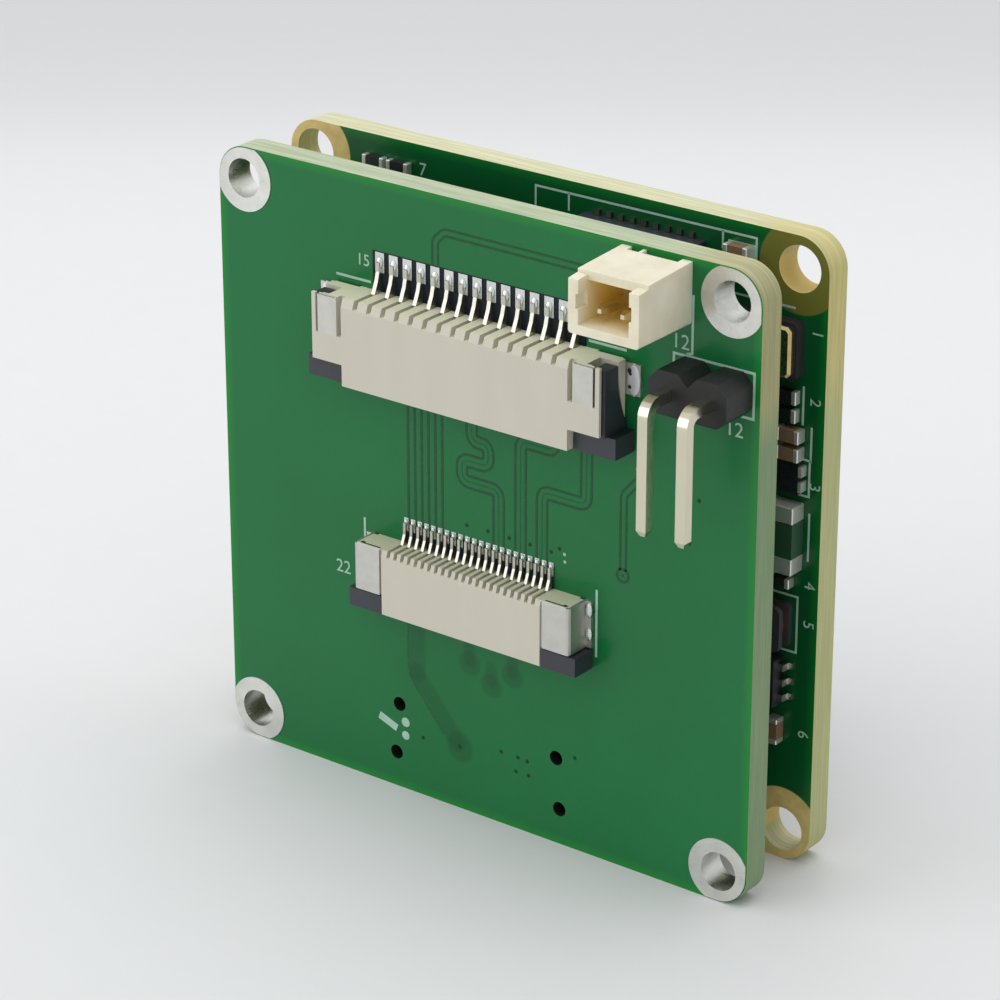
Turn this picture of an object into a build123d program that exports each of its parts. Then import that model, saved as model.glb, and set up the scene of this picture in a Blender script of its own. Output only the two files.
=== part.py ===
from build123d import *
import os
from types import SimpleNamespace

# A camera module made of two square circuit boards, standing on the boards' bottom edges.
# X runs along the boards, Z is up, and the connector face looks along -Y.
# The lens side looks along +Y. All sizes are in millimetres.

os.makedirs("parts", exist_ok=True)

# Boards
board_side = 38.0
board_thickness = 1.8
board_gap = 4.64
board_corner_radius = 2.0
hole_inset = 1.9
mount_hole_diameter = 2.36
mount_plating_wall = 0.025
mount_pad_diameter = 4.06
pad_edge_margin = 0.06
sensor_hole_diameter = 2.72
peg_hole_diameter = 0.9
peg_centre_x = -0.15
upper_peg_spacing = 11.6
upper_peg_z = 5.5
lower_peg_spacing = 12.1
lower_peg_z = 2.25
pad_thickness = 0.05
cut_past = 1.0

# Wide flat-cable socket
wide_count = 15
wide_pitch = 1.0
wide_centre_x = 0.0
wide_top_inset = 6.65
wide_depth = 5.3
wide_height = 2.38
wide_end_margin = 1.0
wide_end_width = 2.15
wide_cover = 0.68
wide_base = 0.4
wide_rear_wall = 0.95
wide_comb_depth = 0.51
wide_bevel = 0.2
wide_blade = 0.25
wide_slot = 0.32
wide_exit_height = 0.7
wide_knee_reach = 1.25
wide_foot_reach = 1.85
wide_pad_width = 0.64
wide_pad_reach = 2.35
wide_ear_length = 1.2
wide_ear_reach = 0.75
wide_ear_front = 1.85
wide_arm_low = 0.95
wide_arm_high = 2.1
wide_arm_inset = 0.2
wide_travel = 1.2
wide_anchor_sheet = 0.16
wide_anchor_width = 1.3
wide_anchor_drop = 2.35
wide_anchor_tab = 1.15
wide_leg_inset = 0.95
wide_tab_inset = 0.22
wide_plate_inset = 0.06
wide_tab_length = 1.83
wide_outer_groove = 0.16
wide_plate_gap = 0.41
wide_groove = 0.34
wide_flange_reach = 0.2
wide_flange_height = 0.86
wide_flange_start = 1.9
wide_flange_sweep = 2.7
wide_belly_share_of_height = 0.72
wide_belly_share_of_sweep = 0.45
wide_pocket_depth = 0.8
wide_pocket_wall = 0.3
wide_pocket_length = 1.05

# Narrow flat-cable socket
fine_count = 22
fine_pitch = 0.5
fine_centre_x = 0.0
fine_mouth_z = 12.1
fine_depth = 4.08
fine_height = 1.8
fine_end_margin = 0.5
fine_end_width = 2.05
fine_cover = 0.45
fine_base = 0.3
fine_rear_wall = 0.8
fine_comb_depth = 0.4
fine_bevel = 0.14
fine_blade = 0.18
fine_slot = 0.24
fine_exit_height = 0.5
fine_knee_reach = 1.0
fine_foot_reach = 1.4
fine_pad_width = 0.32
fine_pad_reach = 1.6
fine_ear_length = 1.1
fine_ear_reach = 0.42
fine_ear_front = 1.76
fine_arm_low = 0.7
fine_arm_high = 1.25
fine_arm_inset = 0.45
fine_roof = 0.25
fine_travel = 1.0
fine_cap_sheet = 0.16
fine_cap_round = 0.2
fine_cap_slit = 0.14
fine_cap_slit_depth = 0.5
fine_cap_tab = 0.35

# Slide locks and contacts of both sockets
slide_clearance = 0.08
tongue_share_of_mouth = 0.42
tongue_share_of_depth = 0.62
tongue_nose = 0.4
contact_foot_sheet = 0.2
contact_middle_height_share = 0.53
contact_middle_reach_share = 0.6
contact_crown_share_of_depth = 0.38
contact_beam_share = 0.55
contact_gap = 0.04
contact_step = 0.05
contact_window = 0.1
contact_crown_length = 0.2
contact_slope = 0.4
arm_width = 0.3
arm_hook = 0.22
arm_hook_length = 0.5
ear_overhang = 0.05
tongue_gap_above_contacts = 0.1

# Two-pin power socket
power_right_inset = 6.83
power_top_inset = 0.21
power_width = 4.6
power_length = 3.59
power_height = 4.9
power_roof_height = 4.05
power_draft = 0.23
power_lip_drop = 0.2
power_side_wall = 0.64
power_floor_wall = 0.52
power_roof_wall = 0.5
power_base = 0.75
power_pitch = 1.5
power_pin_size = 0.5
power_pin_tip_height = 4.2
power_foot_height = 0.5
power_tail = 1.0
power_corner = 0.18
power_key_start = 1.42
power_key_length = 0.85
power_key_depth = 0.16
power_relief_width = 0.75
power_relief_rib = 0.22

# Two-pin header with bent pins
header_right_inset = 3.02
header_top_inset = 6.95
header_pitch = 2.54
header_body_height = 2.5
header_chamfer = 0.62
header_pin_size = 0.64
header_pin_reach = 4.45
header_pin_drop = 7.55
header_bend_radius = 0.75
header_tail = 1.4
hole_clearance = 0.1

# Board-to-board connector
link_right_inset = 12.2
link_top_inset = 3.75
link_length = 8.2
link_width = 4.3
link_receptacle_height = 3.2
link_receptacle_base = 0.8
link_wall = 0.95
link_end_margin = 0.06
link_plug_base = 1.2
link_plug_inset = 0.3
link_tongue = 1.3
link_contact_count = 9
link_contact_pitch = 0.8
link_contact_width = 0.32
link_contact_sheet = 0.15
link_clearance = 0.15
link_slit_clearance = 0.02
link_slit_height = 0.21
link_tip_setback = 0.3
link_spring_setback = 0.4
link_spring_tail = 0.35
link_blade_tail = 0.2

# Image processor on the back of the interface board
processor_side = 9.0
processor_height = 0.9
processor_rim = 0.3
processor_centre_x = -2.0
processor_centre_z = 15.0

# Image sensor and lens, centred on the boards
sensor_side = 10.4
sensor_height = 1.5
sensor_well_side = 8.2
sensor_well_depth = 0.7
sensor_die_length = 6.4
sensor_die_width = 5.0
sensor_die_height = 0.3
sensor_glass_side = 9.4
sensor_glass = 0.5
sensor_corner = 0.3
holder_side = 15.0
holder_corner = 1.6
holder_base_height = 3.7
holder_roof = 0.7
holder_well_side = 11.6
holder_window = 7.4
holder_tube_diameter = 14.2
holder_ear_radius = 2.3
holder_ear_height = 2.6
holder_screw_spacing = 20.0
holder_lead_in = 0.3
holder_well_corner = 0.6
joint_overlap = 0.1
thread_diameter = 11.95
thread_clearance = 0.05
filter_side = 8.0
filter_thickness = 0.55
lens_reach = 13.0
lens_rear_start = 4.6
lens_head_diameter = 14.0
lens_head_length = 2.9
lens_head_gap = 0.8
lens_head_notches = 8
lens_notch_width = 0.9
lens_notch_depth = 0.3
lens_front_bore = 9.6
lens_rear_bore = 7.0
lens_front_glass_length = 2.6
lens_rear_glass_length = 1.6
lens_glass_clearance = 0.02
lens_front_rim = 0.7
lens_front_crown = 0.45
lens_rear_setback = 0.3
lens_stop_inset = 1.2
lens_stop_length = 0.6
lens_ring_length = 0.6
lens_ring_opening = 8.2
lens_front_setback = 0.7
lens_head_front_chamfer = 0.4
lens_face_flare = 0.9
screw_diameter = 2.0
screw_head_diameter = 3.6
screw_head_height = 1.3
screw_length = 4.2
screw_slot = 0.5
screw_cross = 2.0

# Small parts on the sensor board's inner face
chip_length = 1.6
chip_width = 0.8
chip_resistor_height = 0.5
chip_cap = 0.32
chip_cap_chamfer = 0.05
chip_body_inset = 0.02
chip_gap = 0.2
chip_second_column = 0.4
upright_chip_gap = 0.9
chip_column_count = 4
chip_capacitor_height = 0.75
chip_pitch = 1.08
chip_right_inset = 2.4
chip_left_inset = 6.6
chip_top_inset = 1.6
chip_top_right_inset = 5.72
crystal_length = 5.0
crystal_width = 3.4
crystal_case_height = 0.75
crystal_lid_height = 0.3
crystal_lid_inset = 0.22
crystal_corner = 0.25
crystal_right_inset = 4.0
crystal_top_inset = 6.5
array_length = 2.0
array_width = 1.8
array_height = 0.55
array_cap = 0.2
array_right_inset = 2.05
array_gap = 0.13
fuse_length = 4.1
fuse_width = 2.6
fuse_height = 1.2
fuse_cap = 1.0
fuse_right_inset = 2.4
fuse_gap = 0.6
diode_length = 1.5
diode_width = 0.62
diode_height = 0.6
diode_right_inset = 2.35
diode_gap = 0.54
inductor_side = 2.75
inductor_height = 1.3
inductor_flange = 0.35
inductor_winding_inset = 0.18
inductor_corner = 0.45
inductor_waist_diameter = 1.37
inductor_right_inset = 3.05
inductor_gap = 0.965
regulator_body_width = 1.6
regulator_body_length = 2.9
regulator_body_height = 1.1
regulator_standoff = 0.1
regulator_span = 2.8
regulator_pitch = 0.95
regulator_lead_width = 0.4
regulator_lead_sheet = 0.15
regulator_taper = 0.07
regulator_right_inset = 2.85
regulator_gap = 0.675

# Places of the boards, worked out so that the whole module is centred on Y = 0
stack_depth = 2 * board_thickness + board_gap
overall_depth = power_height + stack_depth + lens_reach
interface_front_y = power_height - overall_depth / 2
interface_back_y = interface_front_y + board_thickness
sensor_front_y = interface_back_y + board_gap
sensor_back_y = sensor_front_y + board_thickness
board_centre_z = board_side / 2
hole_offset = board_side / 2 - hole_inset
right_edge_x = board_side / 2

# Places on the boards, worked out from their right-hand and top edges. In the right-hand column
# of the sensor board each part is placed below the one above it.
wide_top_z = board_side - wide_top_inset
wide_mouth_z = wide_top_z - wide_depth
power_centre_x = right_edge_x - power_right_inset
power_high_z = board_side - power_top_inset
power_low_z = power_high_z - power_length
header_centre_x = right_edge_x - header_right_inset
header_centre_z = board_side - header_top_inset
header_pin_tip_z = header_centre_z - header_pin_drop
link_centre_x = right_edge_x - link_right_inset
link_centre_z = board_side - link_top_inset
crystal_centre_x = right_edge_x - crystal_right_inset
crystal_centre_z = board_side - crystal_top_inset
array_centre_x = right_edge_x - array_right_inset
crystal_low_z = crystal_centre_z - crystal_width / 2
chip_column_low_z = crystal_low_z - chip_column_count * chip_pitch - chip_width / 2
array_centre_z = chip_column_low_z - array_gap - array_width / 2
fuse_centre_x = right_edge_x - fuse_right_inset
fuse_centre_z = array_centre_z - array_width / 2 - fuse_gap - fuse_length / 2
diode_centre_x = right_edge_x - diode_right_inset
diode_centre_z = fuse_centre_z - fuse_length / 2 - diode_gap - diode_width / 2
inductor_centre_x = right_edge_x - inductor_right_inset
inductor_centre_z = diode_centre_z - diode_width / 2 - inductor_gap - inductor_side / 2
regulator_centre_x = right_edge_x - regulator_right_inset
regulator_high_z = inductor_centre_z - inductor_side / 2 - regulator_gap
regulator_centre_z = regulator_high_z - regulator_body_length / 2
upright_chip_z = regulator_high_z - regulator_body_length - upright_chip_gap - chip_length / 2

UP = Vector(0, 0, 1)
connector_face = Plane((0, interface_front_y, 0), x_dir=(1, 0, 0), z_dir=(0, -1, 0))
link_face = Plane((0, interface_back_y, 0), x_dir=(-1, 0, 0), z_dir=(0, 1, 0))
inner_face = Plane((0, sensor_front_y, 0), x_dir=(1, 0, 0), z_dir=(0, -1, 0))
lens_face = Plane((0, sensor_back_y, 0), x_dir=(-1, 0, 0), z_dir=(0, 1, 0))

wide = SimpleNamespace(
    count=wide_count, pitch=wide_pitch, centre=wide_centre_x, mouth=wide_mouth_z,
    top=wide_top_z, height=wide_height, end_width=wide_end_width,
    half=(wide_count - 1) * wide_pitch / 2 + wide_end_margin, skin=0.0,
    cover=wide_cover, base=wide_base, rear_wall=wide_rear_wall, comb=wide_comb_depth,
    bevel=wide_bevel, blade=wide_blade, slot=wide_slot, exit=wide_exit_height,
    knee=wide_knee_reach, foot=wide_foot_reach, pad_width=wide_pad_width,
    pad_reach=wide_pad_reach, ear_length=wide_ear_length, ear_reach=wide_ear_reach,
    ear_front=wide_ear_front, arm_low=wide_arm_low, arm_high=wide_arm_high,
    travel=wide_travel, arm_inset=wide_arm_inset, roof=-cut_past)

fine = SimpleNamespace(
    count=fine_count, pitch=fine_pitch, centre=fine_centre_x, mouth=fine_mouth_z,
    top=fine_mouth_z + fine_depth, height=fine_height, end_width=fine_end_width,
    half=(fine_count - 1) * fine_pitch / 2 + fine_end_margin, skin=fine_cap_sheet,
    cover=fine_cover, base=fine_base, rear_wall=fine_rear_wall, comb=fine_comb_depth,
    bevel=fine_bevel, blade=fine_blade, slot=fine_slot, exit=fine_exit_height,
    knee=fine_knee_reach, foot=fine_foot_reach, pad_width=fine_pad_width,
    pad_reach=fine_pad_reach, ear_length=fine_ear_length, ear_reach=fine_ear_reach,
    ear_front=fine_ear_front, arm_low=fine_arm_low, arm_high=fine_arm_high,
    travel=fine_travel, arm_inset=fine_arm_inset, roof=fine_roof)


def slab(face, x_range, z_range, rise, corner=0.0):
    """A flat-sided block standing on a board face, between two heights off that face."""
    width = x_range[1] - x_range[0]
    length = z_range[1] - z_range[0]
    centre = Pos((x_range[0] + x_range[1]) / 2 * face.x_dir.X, (z_range[0] + z_range[1]) / 2)
    outline = RectangleRounded(width, length, corner) if corner else Rectangle(width, length)
    return extrude(face.offset(rise[0]) * centre * outline, amount=rise[1] - rise[0])


def side_plane(face, x):
    """A plane across the boards whose local X is the height off the face and local Y is up."""
    return Plane(Vector(x, face.origin.Y, 0), x_dir=face.z_dir, z_dir=face.z_dir.cross(UP))


def side_cut(face, x_range, points, arc=None):
    """A profile of (height off the face, z) points, closed by an arc or a line, extruded along X."""
    lines = [Line(points[index], points[index + 1]) for index in range(len(points) - 1)]
    lines.append(Line(points[-1], points[0]) if arc is None else ThreePointArc(points[-1], arc, points[0]))
    side = side_plane(face, (x_range[0] + x_range[1]) / 2)
    return extrude(side * make_face(lines), amount=(x_range[1] - x_range[0]) / 2, both=True)


def level_cut(face, z_range, points):
    """A profile of (x, height off the face) points, extruded along Z."""
    level = Plane((0, face.origin.Y, z_range[0]), x_dir=(1, 0, 0), z_dir=(0, 0, 1))
    sign = face.z_dir.Y
    outline = make_face(Polyline(*[(x, sign * rise) for x, rise in points], close=True))
    return extrude(level * outline, amount=z_range[1] - z_range[0])


def cylinder_on(face, x, z, diameter, rise):
    """A round bar square to a board face, between two heights off that face."""
    spot = face.offset(rise[0]) * Pos(x * face.x_dir.X, z)
    return extrude(spot * Circle(diameter / 2), amount=rise[1] - rise[0])


def mirrored(shape, centre_x):
    """The same shape on the other side of an upright plane at centre_x."""
    return mirror(shape, Plane((centre_x, 0, 0), x_dir=(0, 1, 0), z_dir=(1, 0, 0)))


def both_ends(shape, centre_x):
    return [shape, mirrored(shape, centre_x)]


def group(solids):
    """Separate solids kept together as one sub-part."""
    return Compound(children=[piece for shape in solids for piece in shape.solids()])


def row(count, pitch, centre):
    """Centres of a row of equal spacing."""
    return [centre + (index - (count - 1) / 2) * pitch for index in range(count)]


def corner_holes():
    return [(x, z) for x in (-hole_offset, hole_offset)
            for z in (board_centre_z - hole_offset, board_centre_z + hole_offset)]


power_pin_xs = row(2, power_pitch, power_centre_x)
power_pin_z = (power_low_z + power_floor_wall + power_high_z - power_roof_wall) / 2 - power_pin_size
header_pin_xs = row(2, header_pitch, header_centre_x)
lens_screw_xs = row(2, holder_screw_spacing, 0.0)


def board_outline(face, margin=0.0):
    side = board_side - 2 * margin
    return face * Pos(0, board_centre_z) * RectangleRounded(side, side, board_corner_radius - margin)


def interface_board():
    board = extrude(board_outline(connector_face), amount=-board_thickness)
    through = (-board_thickness, 0)
    drilled = mount_hole_diameter + 2 * mount_plating_wall
    for x, z in corner_holes():
        board -= cylinder_on(connector_face, x, z, drilled, through)
    for spacing, z in ((upper_peg_spacing, upper_peg_z), (lower_peg_spacing, lower_peg_z)):
        for x in row(2, spacing, peg_centre_x):
            board -= cylinder_on(connector_face, x, z, peg_hole_diameter, through)
    for x in power_pin_xs:
        bore = power_pin_size * 2 ** 0.5 + hole_clearance
        board -= cylinder_on(connector_face, x, power_pin_z, bore, through)
    for x in header_pin_xs:
        bore = header_pin_size * 2 ** 0.5 + hole_clearance
        board -= cylinder_on(connector_face, x, header_centre_z, bore, through)
    return board


def interface_board_plating():
    """Four tinned rings: a tube through the board with a flat pad on each face."""
    rings = []
    limit = extrude(board_outline(connector_face, pad_edge_margin).face(), amount=pad_thickness)
    limit += extrude(board_outline(link_face, pad_edge_margin).face(), amount=pad_thickness)
    for x, z in corner_holes():
        pads = cylinder_on(connector_face, x, z, mount_pad_diameter, (0, pad_thickness))
        pads += cylinder_on(link_face, x, z, mount_pad_diameter, (0, pad_thickness))
        tube_diameter = mount_hole_diameter + 2 * mount_plating_wall
        tube = cylinder_on(connector_face, x, z, tube_diameter, (-board_thickness, 0))
        reach = (-board_thickness - pad_thickness, pad_thickness)
        bore = cylinder_on(connector_face, x, z, mount_hole_diameter, reach)
        rings.append((pads & limit) + tube - bore)
    return group(rings)


def sensor_board():
    board = extrude(board_outline(inner_face), amount=-board_thickness)
    through = (-board_thickness, 0)
    for x, z in corner_holes():
        board -= cylinder_on(inner_face, x, z, sensor_hole_diameter, through)
    for x in lens_screw_xs:
        board -= cylinder_on(inner_face, x, board_centre_z, screw_diameter + hole_clearance, through)
    return board


def contact_pads():
    """Flat solder pads under the feet of both flat-cable sockets."""
    pads = []
    for size in (wide, fine):
        for x in row(size.count, size.pitch, size.centre):
            sides = (x - size.pad_width / 2, x + size.pad_width / 2)
            ends = (size.top + size.bevel, size.top + size.pad_reach)
            pads.append(slab(connector_face, sides, ends, (0, pad_thickness)))
    return group(pads)


def arm_channel(size):
    """Space for one slide-lock arm in the right-hand end block."""
    outer = size.centre + size.half + size.end_width - size.skin
    inner = outer - arm_width - 2 * slide_clearance
    rise = (size.arm_low - slide_clearance, size.arm_high + slide_clearance)
    beyond = size.top - size.roof
    run = slab(connector_face, (inner, outer + size.skin + cut_past), (size.mouth, beyond), rise)
    hook_low = size.top - size.arm_inset - arm_hook_length - size.travel - slide_clearance
    hook_space = (inner - arm_hook, inner + slide_clearance)
    return run + slab(connector_face, hook_space, (hook_low, beyond), rise)


def cable_housing(size):
    """Moulded body: cover, base and comb wall as one C-shaped section, and two end blocks."""
    left = size.centre - size.half
    right = size.centre + size.half
    comb_z = size.top - size.comb
    cover_low = size.height - size.cover
    wall_z = size.top - size.rear_wall
    section = [(0, size.mouth + size.ear_length / 2), (0, size.top),
               (size.height - size.bevel, size.top), (size.height, comb_z),
               (size.height, size.mouth), (cover_low + size.base / 3, size.mouth),
               (cover_low, size.mouth + size.base), (cover_low, wall_z), (size.base, wall_z),
               (size.base, size.mouth + size.ear_length)]
    body = side_cut(connector_face, (left, right), section)
    outer = right + size.end_width - size.skin
    block_low = size.mouth + size.ear_length + slide_clearance
    face_height = size.height - size.skin
    block = [(0, block_low), (0, size.top), (face_height, size.top), (face_height, block_low)]
    end = side_cut(connector_face, (right, outer), block) - arm_channel(size)
    for shape in both_ends(end, size.centre):
        body += shape
    tongue_sides = (left - size.base, right + size.base)
    tongue_rise = (cover_low - 2 * slide_clearance - size.base, cover_low)
    body -= slab(connector_face, tongue_sides, (size.mouth, wall_z), tongue_rise)
    through = (-cut_past, size.height + cut_past)
    window = (size.base - contact_window, size.exit + contact_step + contact_window)
    for x in row(size.count, size.pitch, size.centre):
        gap = (x - size.slot / 2, x + size.slot / 2)
        body -= slab(connector_face, gap, (comb_z, size.top + cut_past), through)
        body -= slab(connector_face, gap, (wall_z, comb_z), window)
    return body


def contact_profile(size):
    """Side outline of one stamped contact, from its foot on the pad to its spring tip."""
    wall_z = size.top - size.rear_wall
    beam = size.base + contact_gap
    spring = beam + contact_beam_share * size.base
    step = size.exit + contact_step
    crown_z = size.mouth + contact_crown_share_of_depth * (wall_z - size.mouth)
    crown_low = crown_z - contact_crown_length / 2
    crown_high = crown_z + contact_crown_length / 2
    crown = contact_crown(size)
    foot_top = pad_thickness + contact_foot_sheet
    return [
        (pad_thickness, size.top + size.foot), (foot_top, size.top + size.foot - slide_clearance),
        (foot_top, size.top + size.knee),
        (contact_middle_height_share * size.exit, size.top + contact_middle_reach_share * size.knee),
        (size.exit, size.top), (step, size.top - size.comb), (step, wall_z - contact_slope / 2),
        (spring, wall_z - contact_slope), (spring, crown_high + contact_slope), (crown, crown_high),
        (crown, crown_low), (spring, crown_low - contact_slope), (beam, crown_low - contact_slope),
        (beam, wall_z), (pad_thickness, size.top + contact_foot_sheet / 2)]


def contact_crown(size):
    """Height of the spring's crown, where it presses on the cable."""
    return size.height - size.cover - tongue_gap_above_contacts - tongue_thickness(size)


def tongue_thickness(size):
    return tongue_share_of_mouth * (size.height - size.cover - size.base)


def cable_contacts(size):
    profile = contact_profile(size)
    blades = []
    for x in row(size.count, size.pitch, size.centre):
        blades.append(side_cut(connector_face, (x - size.blade / 2, x + size.blade / 2), profile))
    return group(blades)


def cable_slider(size):
    """Slide lock: a cross bar with a wedge tongue, two ears and two hooked arms."""
    cover_low = size.height - size.cover - slide_clearance
    bar_low = cover_low - tongue_thickness(size)
    bar_high_z = size.mouth + size.ear_length
    inner_end = size.half + slide_clearance
    outer = size.half + size.end_width
    wall_z = size.top - size.rear_wall
    tongue_tip = size.mouth + tongue_share_of_depth * (wall_z - size.mouth)
    wedge = [(bar_low, size.mouth + size.base), (cover_low, size.mouth + size.base), (cover_low, tongue_tip),
             ((bar_low + cover_low) / 2, tongue_tip), (bar_low, tongue_tip - tongue_nose)]
    sides = (size.centre - size.half + slide_clearance, size.centre + size.half - slide_clearance)
    slider = side_cut(connector_face, sides, wedge)
    bar_sides = (size.centre - inner_end, size.centre + inner_end)
    slider += slab(connector_face, bar_sides, (size.mouth + size.base, bar_high_z), (bar_low, cover_low))
    ear_x = (size.centre + inner_end, size.centre + outer + size.ear_reach)
    ear_z = (size.mouth - ear_overhang, bar_high_z)
    ear = slab(connector_face, ear_x, ear_z, (slide_clearance, size.ear_front))
    arm_x = (size.centre + outer - size.skin - slide_clearance - arm_width,
             size.centre + outer - size.skin - slide_clearance)
    arm_top = size.top - size.arm_inset
    arm_rise = (size.arm_low, size.arm_high)
    arm = slab(connector_face, arm_x, (bar_high_z, arm_top), arm_rise)
    hook_x = (arm_x[0] - arm_hook, arm_x[0])
    arm += slab(connector_face, hook_x, (arm_top - arm_hook_length, arm_top), arm_rise)
    for shape in both_ends(ear + arm, size.centre):
        slider += shape
    return slider


def wide_flange_curve(grown=0.0):
    """Lower end, middle and upper end of the flange's curved edge, moved out by a clearance."""
    start_z = wide_mouth_z + wide_flange_start
    low = (wide_anchor_sheet + slide_clearance, start_z - grown)
    belly = (wide_belly_share_of_height * wide_flange_height + grown,
             start_z + wide_belly_share_of_sweep * wide_flange_sweep - grown)
    high = (wide_flange_height + grown, start_z + wide_flange_sweep)
    return low, belly, high


def wide_outer_end():
    return wide_centre_x + wide.half + wide_end_width


def wide_wing_space():
    """Room in the side of the right-hand end block for the slide lock's wing."""
    low, belly, high = wide_flange_curve()
    front = wide_arm_high + slide_clearance
    inner = wide_outer_end() - arm_width - 2 * slide_clearance
    edge = [low, (-cut_past, low[1]), (-cut_past, wide_mouth_z), (front, wide_mouth_z),
            (front, high[1]), high]
    return side_cut(connector_face, (inner, wide_outer_end() + cut_past), edge, arc=belly)


def wide_slide_lock():
    """The slide lock with a wing on each arm, level with the flange and shaped to its curve."""
    low, belly, high = wide_flange_curve(slide_clearance)
    top = wide_top_z - wide_arm_inset
    ear_z = wide_mouth_z + wide_ear_length
    inner = wide_outer_end() - slide_clearance - arm_width
    edge = [low, (slide_clearance, low[1]), (slide_clearance, ear_z), (wide_arm_high, ear_z),
            (wide_arm_high, top), (high[0], top), high]
    wing = side_cut(connector_face, (inner, wide_outer_end() + wide_flange_reach), edge, arc=belly)
    slider = cable_slider(wide)
    for shape in both_ends(wing, wide_centre_x):
        slider += shape
    return slider


def wide_pocket():
    """Open pocket in the top of the right-hand end block, behind its front wall."""
    outer = wide_outer_end()
    x_range = (outer - wide_pocket_length, outer - arm_width)
    z_range = (wide_top_z - wide_pocket_depth, wide_top_z + cut_past)
    return slab(connector_face, x_range, z_range, (wide_flange_height, wide_height - wide_pocket_wall))


def wide_socket_housing():
    """Wide body: grooves and recesses for the hold-downs, and a curved flange at each side."""
    body = cable_housing(wide)
    right = wide_centre_x + wide.half
    outer = wide_outer_end()
    plate_x = wide_plate_range()
    plate_low = wide.top - wide_anchor_drop
    above = (plate_low, wide.top + cut_past)
    front = wide_height + cut_past
    cuts = slab(connector_face, plate_x, above, (wide_height - wide_anchor_sheet, front))
    groove_rise = (wide_height - 3 * wide_anchor_sheet, front)
    cuts += slab(connector_face, (right, right + wide_groove), above, groove_rise)
    cuts += slab(connector_face, (plate_x[1], plate_x[1] + wide_outer_groove), above, groove_rise)
    cuts += slab(connector_face, wide_leg_sides(), wide_leg_range(), (-cut_past, front))
    foot_z = wide_foot_range()
    under = (-cut_past, wide_anchor_sheet)
    cuts += slab(connector_face, (plate_x[0], outer + cut_past), (foot_z[0], above[1]), under)
    cuts += wide_wing_space() + wide_pocket()
    low, belly, high = wide_flange_curve()
    rim = [high, (high[0], wide.top), (low[0], wide.top), low]
    flange = side_cut(connector_face, (outer, outer + wide_flange_reach), rim, arc=belly)
    for shape in both_ends(cuts, wide_centre_x):
        body -= shape
    for shape in both_ends(flange, wide_centre_x):
        body += shape
    return body


def wide_plate_range():
    low = wide_centre_x + wide.half + wide_plate_gap
    return (low, low + wide_anchor_width)


def wide_leg_range():
    high = wide.top - wide_leg_inset
    return (high - wide_anchor_sheet, high)


def wide_leg_sides():
    """The leg stays clear of the arm's hook and of the space it slides through."""
    return (wide_plate_range()[0], wide_outer_end() - arm_width - arm_hook - 3 * slide_clearance)


def wide_foot_range():
    high = wide.top - wide_tab_inset
    return (high - wide_tab_length, high)


def wide_socket_anchors():
    """Bent sheet hold-downs: a face plate, a leg through the body and a tab soldered to the board."""
    plate_x = wide_plate_range()
    outer = wide_outer_end() + wide_anchor_tab
    front = (wide_height - wide_anchor_sheet, wide_height)
    plate_z = (wide.top - wide_anchor_drop, wide.top - wide_plate_inset)
    plate = slab(connector_face, plate_x, plate_z, front)
    leg = slab(connector_face, wide_leg_sides(), wide_leg_range(), (0, wide_height))
    tab = slab(connector_face, (plate_x[0], outer), wide_foot_range(), (0, wide_anchor_sheet))
    return group(both_ends(plate + leg + tab, wide_centre_x))


def fine_socket_housing():
    body = cable_housing(fine)
    outer = fine_centre_x + fine.half + fine_end_width
    foot_x = (outer - 3 * fine_cap_sheet, outer + cut_past)
    foot = slab(connector_face, foot_x, fine_cap_range(), (-cut_past, fine_cap_sheet))
    face = fine_height - fine_cap_sheet
    slit_x = (fine_centre_x + fine.half + 2 * fine_cap_sheet, outer - 2 * fine_cap_sheet)
    slit_z = (fine.top - fine_cap_slit_depth, fine.top + cut_past)
    foot += slab(connector_face, slit_x, slit_z, (face - fine_cap_slit, face))
    for shape in both_ends(foot, fine_centre_x):
        body -= shape
    return body


def fine_cap_range():
    return (fine_mouth_z + fine_ear_length + slide_clearance, fine.top)


def fine_socket_anchors():
    """Sheet-metal caps folded round the front and side of each end block, with a soldered foot."""
    right = fine_centre_x + fine.half
    outer = right + fine_end_width
    inner = right + fine_cap_sheet
    front = fine_height
    back = fine_height - fine_cap_sheet
    round_off = fine_cap_round * 0.3
    wrap = [(inner, back), (inner, front), (outer - fine_cap_round, front),
            (outer - round_off, front - round_off), (outer, front - fine_cap_round),
            (outer, fine_cap_sheet), (outer + fine_cap_tab, fine_cap_sheet), (outer + fine_cap_tab, 0),
            (outer - fine_cap_sheet, 0), (outer - fine_cap_sheet, back)]
    cap = level_cut(connector_face, fine_cap_range(), wrap)
    return group(both_ends(cap, fine_centre_x))


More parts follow.
